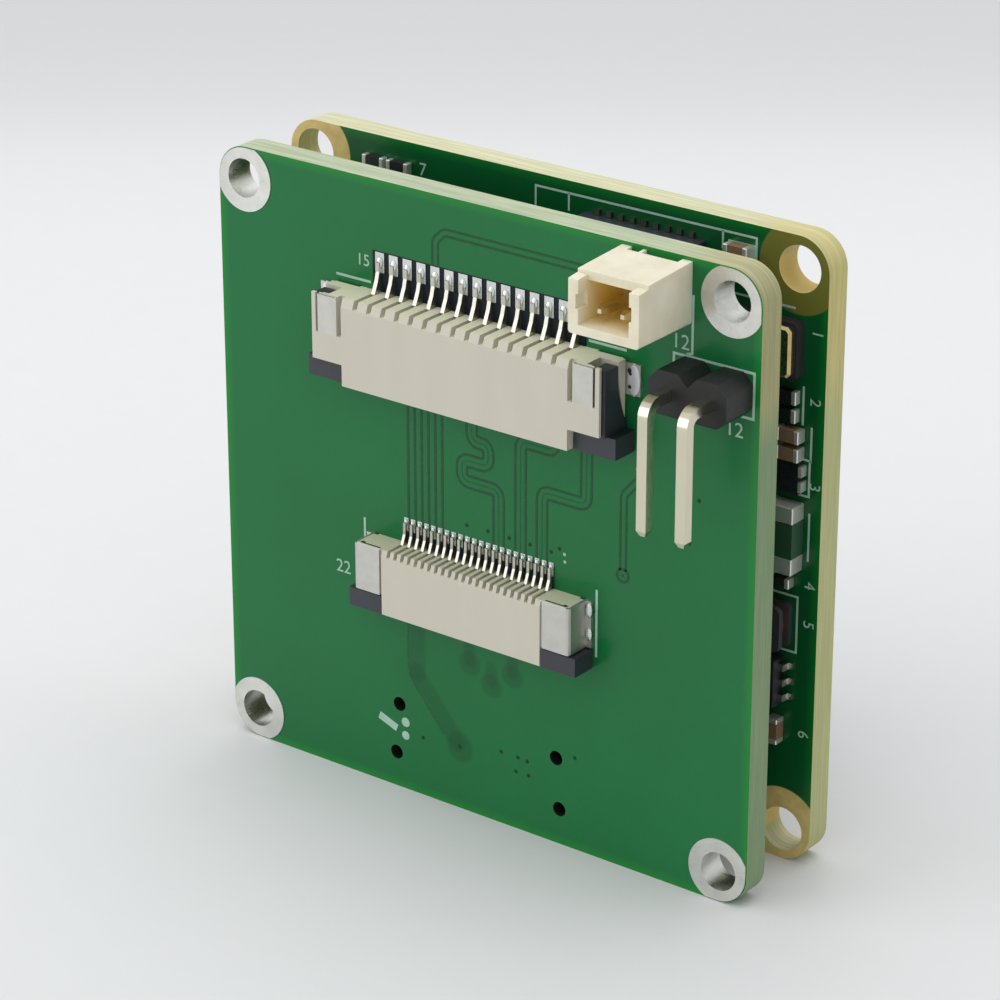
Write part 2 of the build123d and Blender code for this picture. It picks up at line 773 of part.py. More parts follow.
def power_socket_housing():
    """Drafted box with an open mouth, a polarising gap in its roof and relief notches at the board."""
    half = power_width / 2
    left = power_centre_x - half
    right = power_centre_x + half
    roof_front_z = power_high_z - power_draft
    lip_z = roof_front_z - power_lip_drop
    section = [(0, power_low_z), (0, power_high_z), (power_roof_height, roof_front_z),
               (power_roof_height, lip_z), (power_height, lip_z - power_lip_drop / 2),
               (power_height, power_low_z)]
    body = side_cut(connector_face, (left, right), section)
    upright = body.edges().filter_by(Axis.Y).group_by(Axis.Z)[0]
    body = fillet(upright, power_corner)
    inside = (left + power_side_wall, right - power_side_wall)
    cavity_z = (power_low_z + power_floor_wall, power_high_z - power_draft - power_roof_wall)
    front = power_height + cut_past
    above = power_high_z + cut_past
    body -= slab(connector_face, inside, cavity_z, (power_base, front))
    mouth = (power_roof_height, front)
    body -= slab(connector_face, inside, (cavity_z[0], above), mouth)
    key_z = (power_low_z + power_key_start, power_low_z + power_key_start + power_key_length)
    key_x = (inside[0] - power_key_depth, inside[1] + power_key_depth)
    body -= slab(connector_face, key_x, key_z, mouth)
    relief_z = (power_high_z - power_roof_wall, above)
    relief_end = inside[0] + power_relief_width
    under = (-cut_past, power_foot_height)
    body -= slab(connector_face, (inside[0], relief_end), relief_z, under)
    body -= slab(connector_face, (relief_end + power_relief_rib, inside[1]), relief_z, under)
    for x in power_pin_xs:
        sides = (x - power_pin_size / 2, x + power_pin_size / 2)
        ends = (power_pin_z - power_pin_size / 2, power_pin_z + power_pin_size / 2)
        body -= slab(connector_face, sides, ends, (-cut_past, power_base + cut_past))
    return body


def square_pin(face, x, z, size, rise, point):
    """A square pin with a short pyramid point at its outer end."""
    sides = (x - size / 2, x + size / 2)
    shank = slab(face, sides, (z - size / 2, z + size / 2), (rise[0], rise[1] - point))
    spot = face * Pos(x * face.x_dir.X, z)
    tip = loft([spot * Pos(0, 0, rise[1] - point) * Rectangle(size, size),
                spot * Pos(0, 0, rise[1]) * Rectangle(size / 2, size / 2)])
    return shank + tip


def power_socket_pins():
    rise = (-board_thickness - power_tail, power_pin_tip_height)
    return group([square_pin(connector_face, x, power_pin_z, power_pin_size, rise, power_pin_size)
                  for x in power_pin_xs])


def header_body():
    """One octagonal block for each pin, joined side to side, with a hole for the pin."""
    half = header_pitch / 2
    cut = header_chamfer
    body = None
    for x in header_pin_xs:
        corners = [(-half, -half + cut), (-half, half - cut), (-half + cut, half), (half - cut, half),
                   (half, half - cut), (half, -half + cut), (half - cut, -half), (-half + cut, -half)]
        outline = make_face(Polyline(*[(x + u, header_centre_z + v) for u, v in corners], close=True))
        block = extrude(connector_face * outline, amount=header_body_height)
        body = block if body is None else body + block
    for x in header_pin_xs:
        sides = (x - header_pin_size / 2, x + header_pin_size / 2)
        ends = (header_centre_z - header_pin_size / 2, header_centre_z + header_pin_size / 2)
        body -= slab(connector_face, sides, ends, (-cut_past, header_body_height + cut_past))
    return body


def header_pins():
    """Square wires that leave the body straight and bend down beside the board."""
    pins = []
    for x in header_pin_xs:
        side = Plane((x, interface_front_y, 0), x_dir=(0, -1, 0), z_dir=(-1, 0, 0))
        path = FilletPolyline(
            (-board_thickness - header_tail, header_centre_z), (header_pin_reach, header_centre_z),
            (header_pin_reach, header_pin_tip_z + header_pin_size / 2), radius=header_bend_radius)
        wire = side * path
        start = Plane(wire @ 0, x_dir=(1, 0, 0), z_dir=wire % 0)
        pin = sweep(start * Rectangle(header_pin_size, header_pin_size), path=wire)
        end = Plane(wire @ 1, x_dir=(1, 0, 0), z_dir=wire % 1)
        tip = end * Pos(0, 0, header_pin_size / 2) * Rectangle(header_pin_size / 2, header_pin_size / 2)
        pin += loft([end * Rectangle(header_pin_size, header_pin_size), tip])
        pins.append(pin)
    return group(pins)


def link_half_row():
    """Half the length of the plug's tongue, which just holds its row of contacts."""
    return (link_contact_count - 1) * link_contact_pitch / 2 + link_contact_width / 2 + link_end_margin


def link_slits(face, z_range, rise):
    """Cuts that make room for the contacts through a housing on a board face."""
    slits = []
    half = link_contact_width / 2 + link_slit_clearance
    for x in row(link_contact_count, link_contact_pitch, link_centre_x):
        for sign in (-1, 1):
            ends = sorted((link_centre_z + sign * z_range[0], link_centre_z + sign * z_range[1]))
            slits.append(slab(face, (x - half, x + half), ends, rise))
    return slits


def link_strips(face, points):
    """One bent strip for each contact, from (height, distance from the middle line) points."""
    strips = []
    half = link_contact_width / 2
    for x in row(link_contact_count, link_contact_pitch, link_centre_x):
        for sign in (-1, 1):
            outline = [(rise, link_centre_z + sign * off) for rise, off in points]
            strips.append(side_cut(face, (x - half, x + half), outline))
    return group(strips)


def link_receptacle_housing():
    half = link_length / 2
    z_range = (link_centre_z - link_width / 2, link_centre_z + link_width / 2)
    x_range = (link_centre_x - half, link_centre_x + half)
    body = slab(inner_face, x_range, z_range, (0, link_receptacle_height))
    slot_half = link_half_row() + link_clearance
    slot_x = (link_centre_x - slot_half, link_centre_x + slot_half)
    wall = link_width / 2 - link_wall
    slot_z = (link_centre_z - wall, link_centre_z + wall)
    body -= slab(inner_face, slot_x, slot_z, (link_receptacle_base, link_receptacle_height + cut_past))
    tails = (wall, link_width / 2 + cut_past)
    risers = (wall - link_contact_sheet - link_slit_clearance, wall)
    for slit in link_slits(inner_face, tails, (-cut_past, link_slit_height)):
        body -= slit
    for slit in link_slits(inner_face, risers, (-cut_past, link_receptacle_base + cut_past)):
        body -= slit
    return body


def link_receptacle_contacts():
    """Springs lining both long walls of the slot, with tails out under the walls."""
    wall = link_width / 2 - link_wall
    sheet = link_contact_sheet
    top = link_receptacle_height - link_spring_setback
    outer = link_width / 2 + link_spring_tail
    return link_strips(inner_face, [(0, outer), (sheet, outer), (sheet, wall), (top, wall),
                                    (top, wall - sheet), (0, wall - sheet)])


def link_plug_housing():
    half = link_length / 2 - link_plug_inset
    z_half = link_width / 2 - link_plug_inset
    x_range = (link_centre_x - half, link_centre_x + half)
    z_range = (link_centre_z - z_half, link_centre_z + z_half)
    body = slab(link_face, x_range, z_range, (0, link_plug_base))
    tongue_x = (link_centre_x - link_half_row(), link_centre_x + link_half_row())
    tongue_half = link_tongue / 2
    tongue_z = (link_centre_z - tongue_half, link_centre_z + tongue_half)
    reach = board_gap - link_receptacle_base - link_clearance
    body += slab(link_face, tongue_x, tongue_z, (link_plug_base, reach))
    tails = (tongue_half, z_half + cut_past)
    risers = (tongue_half, tongue_half + link_contact_sheet + link_slit_clearance)
    for slit in link_slits(link_face, tails, (-cut_past, link_slit_height)):
        body -= slit
    for slit in link_slits(link_face, risers, (-cut_past, link_plug_base + cut_past)):
        body -= slit
    return body


def link_plug_contacts():
    """Blades along both faces of the tongue, with tails out under the base."""
    sheet = link_contact_sheet
    inner = link_tongue / 2
    reach = board_gap - link_receptacle_base - link_clearance - link_tip_setback
    outer = link_width / 2 + link_blade_tail
    return link_strips(link_face, [(0, outer), (sheet, outer), (sheet, inner + sheet),
                                   (reach, inner + sheet), (reach, inner), (0, inner)])


def image_processor():
    """Moulded package on a slightly wider substrate."""
    half = processor_side / 2
    x_range = (processor_centre_x - half, processor_centre_x + half)
    z_range = (processor_centre_z - half, processor_centre_z + half)
    body = slab(link_face, x_range, z_range, (0, processor_height / 3))
    spot = link_face * Pos(processor_centre_x * link_face.x_dir.X, processor_centre_z)
    side = processor_side - 2 * processor_rim
    top = side - processor_rim
    body += loft([spot * Pos(0, 0, processor_height / 3) * Rectangle(side, side),
                  spot * Pos(0, 0, processor_height) * Rectangle(top, top)])
    return body


def centred_slab(side, rise, corner=0.0, width=None):
    """A block on the lens side of the sensor board, centred on the lens axis."""
    half = side / 2
    half_width = half if width is None else width / 2
    z_range = (board_centre_z - half_width, board_centre_z + half_width)
    return slab(lens_face, (-half, half), z_range, rise, corner)


def image_sensor_package():
    body = centred_slab(sensor_side, (0, sensor_height))
    body = chamfer(body.edges().filter_by(Axis.Y), sensor_corner)
    well = (sensor_height - sensor_well_depth, sensor_height + cut_past)
    body -= centred_slab(sensor_well_side, well)
    return body


def image_sensor_die():
    floor = sensor_height - sensor_well_depth
    return centred_slab(sensor_die_length, (floor, floor + sensor_die_height), width=sensor_die_width)


def image_sensor_glass():
    return centred_slab(sensor_glass_side, (sensor_height, sensor_height + sensor_glass))


def lens_disc(diameter, rise):
    return cylinder_on(lens_face, 0, board_centre_z, diameter, rise)


def lens_turn(points, arcs=()):
    """A closed outline of (radius, distance from the board) turned about the lens axis."""
    section = Plane((0, sensor_back_y, board_centre_z), x_dir=(1, 0, 0), z_dir=(0, 0, 1))
    lines = [Line(points[index], points[index + 1]) for index in range(len(points) - 1)]
    outline = make_face(lines + list(arcs))
    return revolve(section * outline, Axis((0, 0, board_centre_z), (0, 1, 0)))


def dome_arc(rim_radius, rim_at, apex_at):
    """Arc from a rim to the apex of a dome whose centre lies on the axis."""
    rise = apex_at - rim_at
    sphere = (rim_radius ** 2 + rise ** 2) / (2 * rise)
    middle = apex_at - sphere + (sphere ** 2 - rim_radius ** 2 / 4) ** 0.5 * (1 if rise > 0 else -1)
    return ThreePointArc((rim_radius, rim_at), (rim_radius / 2, middle), (0, apex_at))


def holder_length():
    """How far the holder's tube reaches: just short of the lens head."""
    return lens_stations().head - lens_head_gap


def lens_holder():
    """Square skirt over the sensor with two screw ears, a window roof and a threaded tube."""
    body = centred_slab(holder_side, (0, holder_base_height), corner=holder_corner)
    for x in lens_screw_xs:
        ear = cylinder_on(lens_face, x, board_centre_z, 2 * holder_ear_radius, (0, holder_ear_height))
        z_range = (board_centre_z - holder_ear_radius, board_centre_z + holder_ear_radius)
        body += ear + slab(lens_face, sorted((x, 0.0)), z_range, (0, holder_ear_height))
    tube_radius = holder_tube_diameter / 2
    base = holder_base_height
    low = base - joint_overlap
    end = holder_length()
    body += lens_turn([(0, low), (tube_radius, low), (tube_radius, end - holder_lead_in),
                       (tube_radius - holder_lead_in, end), (0, end), (0, low)])
    roof_low = base - holder_roof
    body -= centred_slab(holder_well_side, (-cut_past, roof_low), corner=holder_well_corner)
    window = (roof_low - cut_past, base + cut_past)
    body -= centred_slab(holder_window, window)
    body -= lens_disc(thread_diameter + 2 * thread_clearance, (base, end + cut_past))
    for x in lens_screw_xs:
        depth = (-cut_past, screw_length - board_thickness)
        body -= cylinder_on(lens_face, x, board_centre_z, screw_diameter, depth)
    return body


def lens_holder_screws():
    """Pan-head screws put in from the inner face, through the sensor board into the ears."""
    screws = []
    for x in lens_screw_xs:
        shank = cylinder_on(inner_face, x, board_centre_z, screw_diameter, (-screw_length, 0))
        head = cylinder_on(inner_face, x, board_centre_z, screw_head_diameter, (0, screw_head_height))
        recess = (screw_head_height / 2, screw_head_height + cut_past)
        across = (x - screw_cross / 2, x + screw_cross / 2)
        narrow = (x - screw_slot / 2, x + screw_slot / 2)
        z = board_centre_z
        cross = slab(inner_face, across, (z - screw_slot / 2, z + screw_slot / 2), recess)
        cross += slab(inner_face, narrow, (z - screw_cross / 2, z + screw_cross / 2), recess)
        screws.append(shank + head - cross)
    return group(screws)


def infrared_filter():
    rise = (holder_base_height, holder_base_height + filter_thickness)
    return centred_slab(filter_side, rise)


def lens_stations():
    """Distances from the board along the lens axis."""
    head_start = lens_reach - lens_head_length
    ring_end = lens_reach - lens_front_setback
    front_end = ring_end - lens_ring_length
    front_start = front_end - lens_front_glass_length
    return SimpleNamespace(head=head_start, ring=ring_end, front_end=front_end, front_start=front_start,
                           rear_start=lens_rear_start, rear_end=lens_rear_start + lens_rear_glass_length)


def lens_barrel():
    """Threaded tube with a notched head and a stepped bore for the glass."""
    at = lens_stations()
    thread = thread_diameter / 2
    head = lens_head_diameter / 2
    rear = lens_rear_bore / 2
    front = lens_front_bore / 2
    stop = rear - lens_stop_inset
    edge = lens_head_front_chamfer
    body = lens_turn([
        (rear, at.rear_start), (thread, at.rear_start), (thread, at.head), (head, at.head),
        (head, lens_reach - edge), (head - edge, lens_reach), (front + lens_face_flare, lens_reach),
        (front, at.ring), (front, at.front_start), (stop, at.front_start),
        (stop, at.front_start - lens_stop_length), (rear, at.rear_end + lens_stop_length),
        (rear, at.rear_start)])
    along = (at.head - cut_past, lens_reach + cut_past)
    notch_z = (board_centre_z - lens_notch_width / 2, board_centre_z + lens_notch_width / 2)
    notch = slab(lens_face, (head - lens_notch_depth, head + cut_past), notch_z, along)
    turn = Axis((0, 0, board_centre_z), (0, 1, 0))
    for index in range(lens_head_notches):
        body -= notch.rotate(turn, index * 360 / lens_head_notches)
    return body


def lens_front_element():
    """Plano-convex glass with a flat rim, domed outwards."""
    at = lens_stations()
    radius = lens_front_bore / 2 - lens_glass_clearance
    rim = radius - lens_front_rim
    outer = at.front_end
    inner = at.front_start
    crown = outer + lens_front_crown
    return lens_turn([(0, crown), (0, inner), (radius, inner), (radius, outer), (rim, outer)],
                     arcs=[dome_arc(rim, outer, crown)])


def lens_rear_element():
    """Flat glass disc that faces the sensor."""
    at = lens_stations()
    diameter = lens_rear_bore - 2 * lens_glass_clearance
    return lens_disc(diameter, (at.rear_start + lens_rear_setback, at.rear_end))


def lens_retaining_ring():
    at = lens_stations()
    outer = lens_front_bore / 2 - lens_glass_clearance
    inner = lens_ring_opening / 2
    flare = lens_ring_length / 2
    return lens_turn([(inner, at.front_end), (outer, at.front_end), (outer, at.ring),
                      (inner + flare, at.ring), (inner, at.front_end)])


def chip_places():
    """Centre x, centre z and True where the long side is upright, for each two-terminal chip."""
    near_edge = right_edge_x - chip_right_inset
    top_row = board_side - chip_top_inset
    left_pair = -right_edge_x + chip_left_inset
    second = near_edge + chip_second_column
    column = [crystal_low_z - (index + 1) * chip_pitch for index in range(chip_column_count)]
    resistors = [(near_edge, column[0], False), (near_edge, column[1], False),
                 (left_pair, top_row, False), (left_pair + chip_length + chip_gap, top_row, False)]
    capacitors = [(second, column[2], False), (second, column[3], False),
                  (right_edge_x - chip_top_right_inset, top_row, False),
                  (near_edge, upright_chip_z, True)]
    return SimpleNamespace(resistors=resistors, capacitors=capacitors)


def chip_pieces(x, z, upright, length, width, height, cap):
    """Body and two end caps of one surface-mounted chip."""
    half = length / 2
    side = width / 2
    body_half = half - cap
    inset = chip_body_inset
    if upright:
        body = slab(inner_face, (x - side + inset, x + side - inset), (z - body_half, z + body_half),
                    (inset, height - inset))
        caps = [slab(inner_face, (x - side, x + side), (z - half, z - body_half), (0, height)),
                slab(inner_face, (x - side, x + side), (z + body_half, z + half), (0, height))]
    else:
        body = slab(inner_face, (x - body_half, x + body_half), (z - side + inset, z + side - inset),
                    (inset, height - inset))
        caps = [slab(inner_face, (x - half, x - body_half), (z - side, z + side), (0, height)),
                slab(inner_face, (x + body_half, x + half), (z - side, z + side), (0, height))]
    caps = [chamfer(piece.edges(), chip_cap_chamfer) for piece in caps]
    return body, caps


def chips(places, height):
    bodies = []
    caps = []
    for x, z, upright in places:
        body, ends = chip_pieces(x, z, upright, chip_length, chip_width, height, chip_cap)
        bodies.append(body)
        caps += ends
    return bodies, caps


def crystal_case():
    half_x = crystal_length / 2
    half_z = crystal_width / 2
    x_range = (crystal_centre_x - half_x, crystal_centre_x + half_x)
    z_range = (crystal_centre_z - half_z, crystal_centre_z + half_z)
    case = slab(inner_face, x_range, z_range, (0, crystal_case_height))
    return chamfer(case.edges().filter_by(Axis.Y), crystal_corner)


def crystal_lid():
    half_x = crystal_length / 2 - crystal_lid_inset
    half_z = crystal_width / 2 - crystal_lid_inset
    x_range = (crystal_centre_x - half_x, crystal_centre_x + half_x)
    z_range = (crystal_centre_z - half_z, crystal_centre_z + half_z)
    rise = (crystal_case_height, crystal_case_height + crystal_lid_height)
    lid = chamfer(slab(inner_face, x_range, z_range, rise).edges().filter_by(Axis.Y), crystal_corner)
    return chamfer(lid.edges().group_by(Axis.Y)[0], crystal_lid_height / 2)


def resistor_array():
    """Body with two flat terminals on each upright side."""
    half_x = array_length / 2
    half_z = array_width / 2
    cap = array_cap
    body = slab(inner_face, (array_centre_x - half_x + cap, array_centre_x + half_x - cap),
                (array_centre_z - half_z, array_centre_z + half_z), (0, array_height))
    caps = []
    for x in (array_centre_x - half_x, array_centre_x + half_x - cap):
        for z in (array_centre_z - half_z / 2, array_centre_z + half_z / 2):
            caps.append(slab(inner_face, (x, x + cap), (z - half_z / 3, z + half_z / 3), (0, array_height)))
    return body, group(caps)


def inductor_core():
    """Ferrite drum: two flanges with a narrower waist between them."""
    half = inductor_side / 2
    x_range = (inductor_centre_x - half, inductor_centre_x + half)
    z_range = (inductor_centre_z - half, inductor_centre_z + half)
    body = slab(inner_face, x_range, z_range, (0, inductor_flange), corner=inductor_corner)
    top = (inductor_height - inductor_flange, inductor_height)
    body += slab(inner_face, x_range, z_range, top, corner=inductor_corner)
    waist = (inductor_flange, top[0])
    body += cylinder_on(inner_face, inductor_centre_x, inductor_centre_z, inductor_waist_diameter, waist)
    return body


def inductor_winding():
    outer = inductor_side - 2 * inductor_winding_inset
    rise = (inductor_flange, inductor_height - inductor_flange)
    coil = cylinder_on(inner_face, inductor_centre_x, inductor_centre_z, outer, rise)
    waist = cylinder_on(inner_face, inductor_centre_x, inductor_centre_z, inductor_waist_diameter, rise)
    return coil - waist


def regulator_body():
    """Moulded body with tapered sides above and below the lead line."""
    half_z = regulator_body_length / 2
    half_x = regulator_body_width / 2
    low = regulator_standoff
    high = regulator_body_height
    middle = (low + high) / 2
    taper = regulator_taper
    points = [(-half_x + taper, low), (-half_x, middle), (-half_x + taper, high),
              (half_x - taper, high), (half_x, middle), (half_x - taper, low)]
    outline = [(regulator_centre_x + x, rise) for x, rise in points]
    return level_cut(inner_face, (regulator_centre_z - half_z, regulator_centre_z + half_z), outline)


def regulator_leads():
    """Gull-wing leads, three on the right and two on the left."""
    sheet = regulator_lead_sheet
    middle = (regulator_standoff + regulator_body_height) / 2
    start = regulator_body_width / 2
    end = regulator_span / 2
    bend = (start + end) / 2 - sheet / 2
    profile = [(start, middle - sheet / 2), (bend - sheet / 2, middle - sheet / 2), (bend, 0), (end, 0),
               (end, sheet), (bend + sheet, sheet), (bend + sheet / 2, middle + sheet / 2),
               (start, middle + sheet / 2)]
    leads = []
    rows = [(1, row(3, regulator_pitch, regulator_centre_z)),
            (-1, row(2, 2 * regulator_pitch, regulator_centre_z))]
    for sign, places in rows:
        for z in places:
            outline = [(regulator_centre_x + sign * x, rise) for x, rise in profile]
            half = regulator_lead_width / 2
            leads.append(level_cut(inner_face, (z - half, z + half), outline))
    return group(leads)


def export_all():
    places = chip_places()
    resistor_bodies, resistor_caps = chips(places.resistors, chip_resistor_height)
    capacitor_bodies, capacitor_caps = chips(places.capacitors, chip_capacitor_height)
    fuse_body, fuse_caps = chip_pieces(fuse_centre_x, fuse_centre_z, True, fuse_length, fuse_width,
                                       fuse_height, fuse_cap)
    diode_body, diode_caps = chip_pieces(diode_centre_x, diode_centre_z, False, diode_length, diode_width,
                                         diode_height, chip_cap)
    array_body, array_caps = resistor_array()
    pieces = {
        "interface_board": interface_board(),
        "interface_board_plating": interface_board_plating(),
        "contact_pads": contact_pads(),
        "sensor_board": sensor_board(),
        "wide_socket_housing": wide_socket_housing(),
        "wide_socket_contacts": cable_contacts(wide),
        "wide_socket_slide_lock": wide_slide_lock(),
        "wide_socket_hold_downs": wide_socket_anchors(),
        "narrow_socket_housing": fine_socket_housing(),
        "narrow_socket_contacts": cable_contacts(fine),
        "narrow_socket_slide_lock": cable_slider(fine),
        "narrow_socket_end_caps": fine_socket_anchors(),
        "power_socket_housing": power_socket_housing(),
        "power_socket_pins": power_socket_pins(),
        "pin_header_body": header_body(),
        "pin_header_pins": header_pins(),
        "board_link_plug_housing": link_plug_housing(),
        "board_link_plug_contacts": link_plug_contacts(),
        "board_link_receptacle_housing": link_receptacle_housing(),
        "board_link_receptacle_contacts": link_receptacle_contacts(),
        "image_processor": image_processor(),
        "image_sensor_package": image_sensor_package(),
        "image_sensor_die": image_sensor_die(),
        "image_sensor_cover_glass": image_sensor_glass(),
        "infrared_filter": infrared_filter(),
        "lens_holder": lens_holder(),
        "lens_holder_screws": lens_holder_screws(),
        "lens_barrel": lens_barrel(),
        "lens_front_element": lens_front_element(),
        "lens_rear_element": lens_rear_element(),
        "lens_retaining_ring": lens_retaining_ring(),
        "crystal_case": crystal_case(),
        "crystal_lid": crystal_lid(),
        "chip_resistors": group(resistor_bodies),
        "chip_capacitors": group(capacitor_bodies),
        "chip_end_caps": group(resistor_caps + capacitor_caps),
        "power_fuse_body": fuse_body,
        "power_fuse_terminals": group(fuse_caps),
        "diode_body": diode_body,
        "diode_terminals": group(diode_caps),
        "resistor_array_body": array_body,
        "resistor_array_terminals": array_caps,
        "power_inductor_core": inductor_core(),
        "power_inductor_winding": inductor_winding(),
        "voltage_regulator_body": regulator_body(),
        "voltage_regulator_leads": regulator_leads(),
    }
    for name, shape in pieces.items():
        export_step(shape, "parts/" + name + ".step")


export_all()
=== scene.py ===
import math

import bmesh
import bpy
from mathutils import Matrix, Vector


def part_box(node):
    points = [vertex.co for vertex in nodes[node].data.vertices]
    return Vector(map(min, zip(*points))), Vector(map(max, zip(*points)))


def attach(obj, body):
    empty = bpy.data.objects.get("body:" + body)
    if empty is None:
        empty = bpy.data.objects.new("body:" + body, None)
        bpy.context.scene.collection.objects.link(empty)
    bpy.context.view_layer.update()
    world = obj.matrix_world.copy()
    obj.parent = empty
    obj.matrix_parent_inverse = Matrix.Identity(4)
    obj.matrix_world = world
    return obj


# The camera module's looks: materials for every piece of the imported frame, the print and
# tracks on both boards, solder, the lens thread, the studio and the camera.
# Positions are in millimetres in the frame's axes, and MM turns them into metres. Only the
# studio's floor and lamps are placed in metres.
MM = 0.001

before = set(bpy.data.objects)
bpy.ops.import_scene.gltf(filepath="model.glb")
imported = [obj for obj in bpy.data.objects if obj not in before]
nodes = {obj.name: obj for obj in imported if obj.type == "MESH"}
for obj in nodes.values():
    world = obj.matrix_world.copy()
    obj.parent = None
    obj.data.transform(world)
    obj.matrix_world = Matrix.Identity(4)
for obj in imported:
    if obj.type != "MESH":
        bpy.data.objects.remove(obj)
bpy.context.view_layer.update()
ROOT = "boards"

# Faces that carry print: the connector side, the sensor board's inner face and its lens side.
FRONT_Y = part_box("interface_board")[0].y / MM
INNER_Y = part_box("sensor_board")[0].y / MM
LENS_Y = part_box("sensor_board")[1].y / MM
BOARD_SIDE = (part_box("interface_board")[1].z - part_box("interface_board")[0].z) / MM
BOARD_MIDDLE = BOARD_SIDE / 2
# Distance along x and along z from a board's middle to the axes of its corner holes.
HOLE_OFFSET = 17.1
# How far print and tracks stand off a board, and how far the contact pads do.
FILM = 0.012
PAD_HEIGHT = 0.05
# Films that other ones cross, which stay under them.
FINE_FILM = FILM * 0.8
STRIP_FILM = FILM * 0.7
BURIED_FILM = FILM * 0.5


# Materials.

# The two inputs and the output of a Mix node, by the kind of value that it mixes.
MIX_SOCKETS = {"RGBA": (6, 7, 2), "FLOAT": (2, 3, 0)}
# Where most values of a noise lie, and most distances between the points of a cell texture.
NOISE_RANGE = (0.3, 0.7)
CELL_RANGE = (0.0, 0.8)


def srgb(red, green, blue):
    """Linear colour of a display colour given from 0 to 255."""
    def channel(value):
        value = value / 255
        return value / 12.92 if value <= 0.04045 else ((value + 0.055) / 1.055) ** 2.4
    return (channel(red), channel(green), channel(blue), 1.0)


def shaded(colour, factor):
    return (colour[0] * factor, colour[1] * factor, colour[2] * factor, 1.0)


class Tree:
    """Short calls for a tree of nodes. A value is a number, a colour or a node's output."""

    def __init__(self, tree):
        self.tree = tree

    def node(self, kind, **settings):
        made = self.tree.nodes.new(kind)
        for key, value in settings.items():
            setattr(made, key, value)
        return made

    def link(self, source, target):
        self.tree.links.new(source, target)

    def feed(self, target, value):
        """Puts a value into a socket."""
        if isinstance(value, bpy.types.NodeSocket):
            self.link(value, target)
        else:
            target.default_value = value

    def math(self, operation, first, second=0.0):
        made = self.node("ShaderNodeMath", operation=operation)
        self.feed(made.inputs[0], first)
        self.feed(made.inputs[1], second)
        return made.outputs["Value"]

    def product(self, first, *others):
        for other in others:
            first = self.math("MULTIPLY", first, other)
        return first

    def length(self, x, z):
        """Length of the vector from zero to x and z."""
        squared = self.math("ADD", self.math("MULTIPLY", x, x), self.math("MULTIPLY", z, z))
        return self.math("SQRT", squared)

    def remap(self, value, low, high, new_low=0.0, new_high=1.0):
        """Takes the range from low to high to the new one, and keeps within it."""
        made = self.node("ShaderNodeMapRange")
        self.feed(made.inputs["Value"], value)
        limits = {"From Min": low, "From Max": high, "To Min": new_low, "To Max": new_high}
        for socket, limit in limits.items():
            made.inputs[socket].default_value = limit
        return made.outputs["Result"]

    def mix(self, share, first, second, kind="RGBA"):
        """Goes from the first value to the second one as share goes from 0 to 1."""
        first_socket, second_socket, result = MIX_SOCKETS[kind]
        made = self.node("ShaderNodeMix", data_type=kind)
        self.feed(made.inputs["Factor"], share)
        self.feed(made.inputs[first_socket], first)
        self.feed(made.inputs[second_socket], second)
        return made.outputs[result]


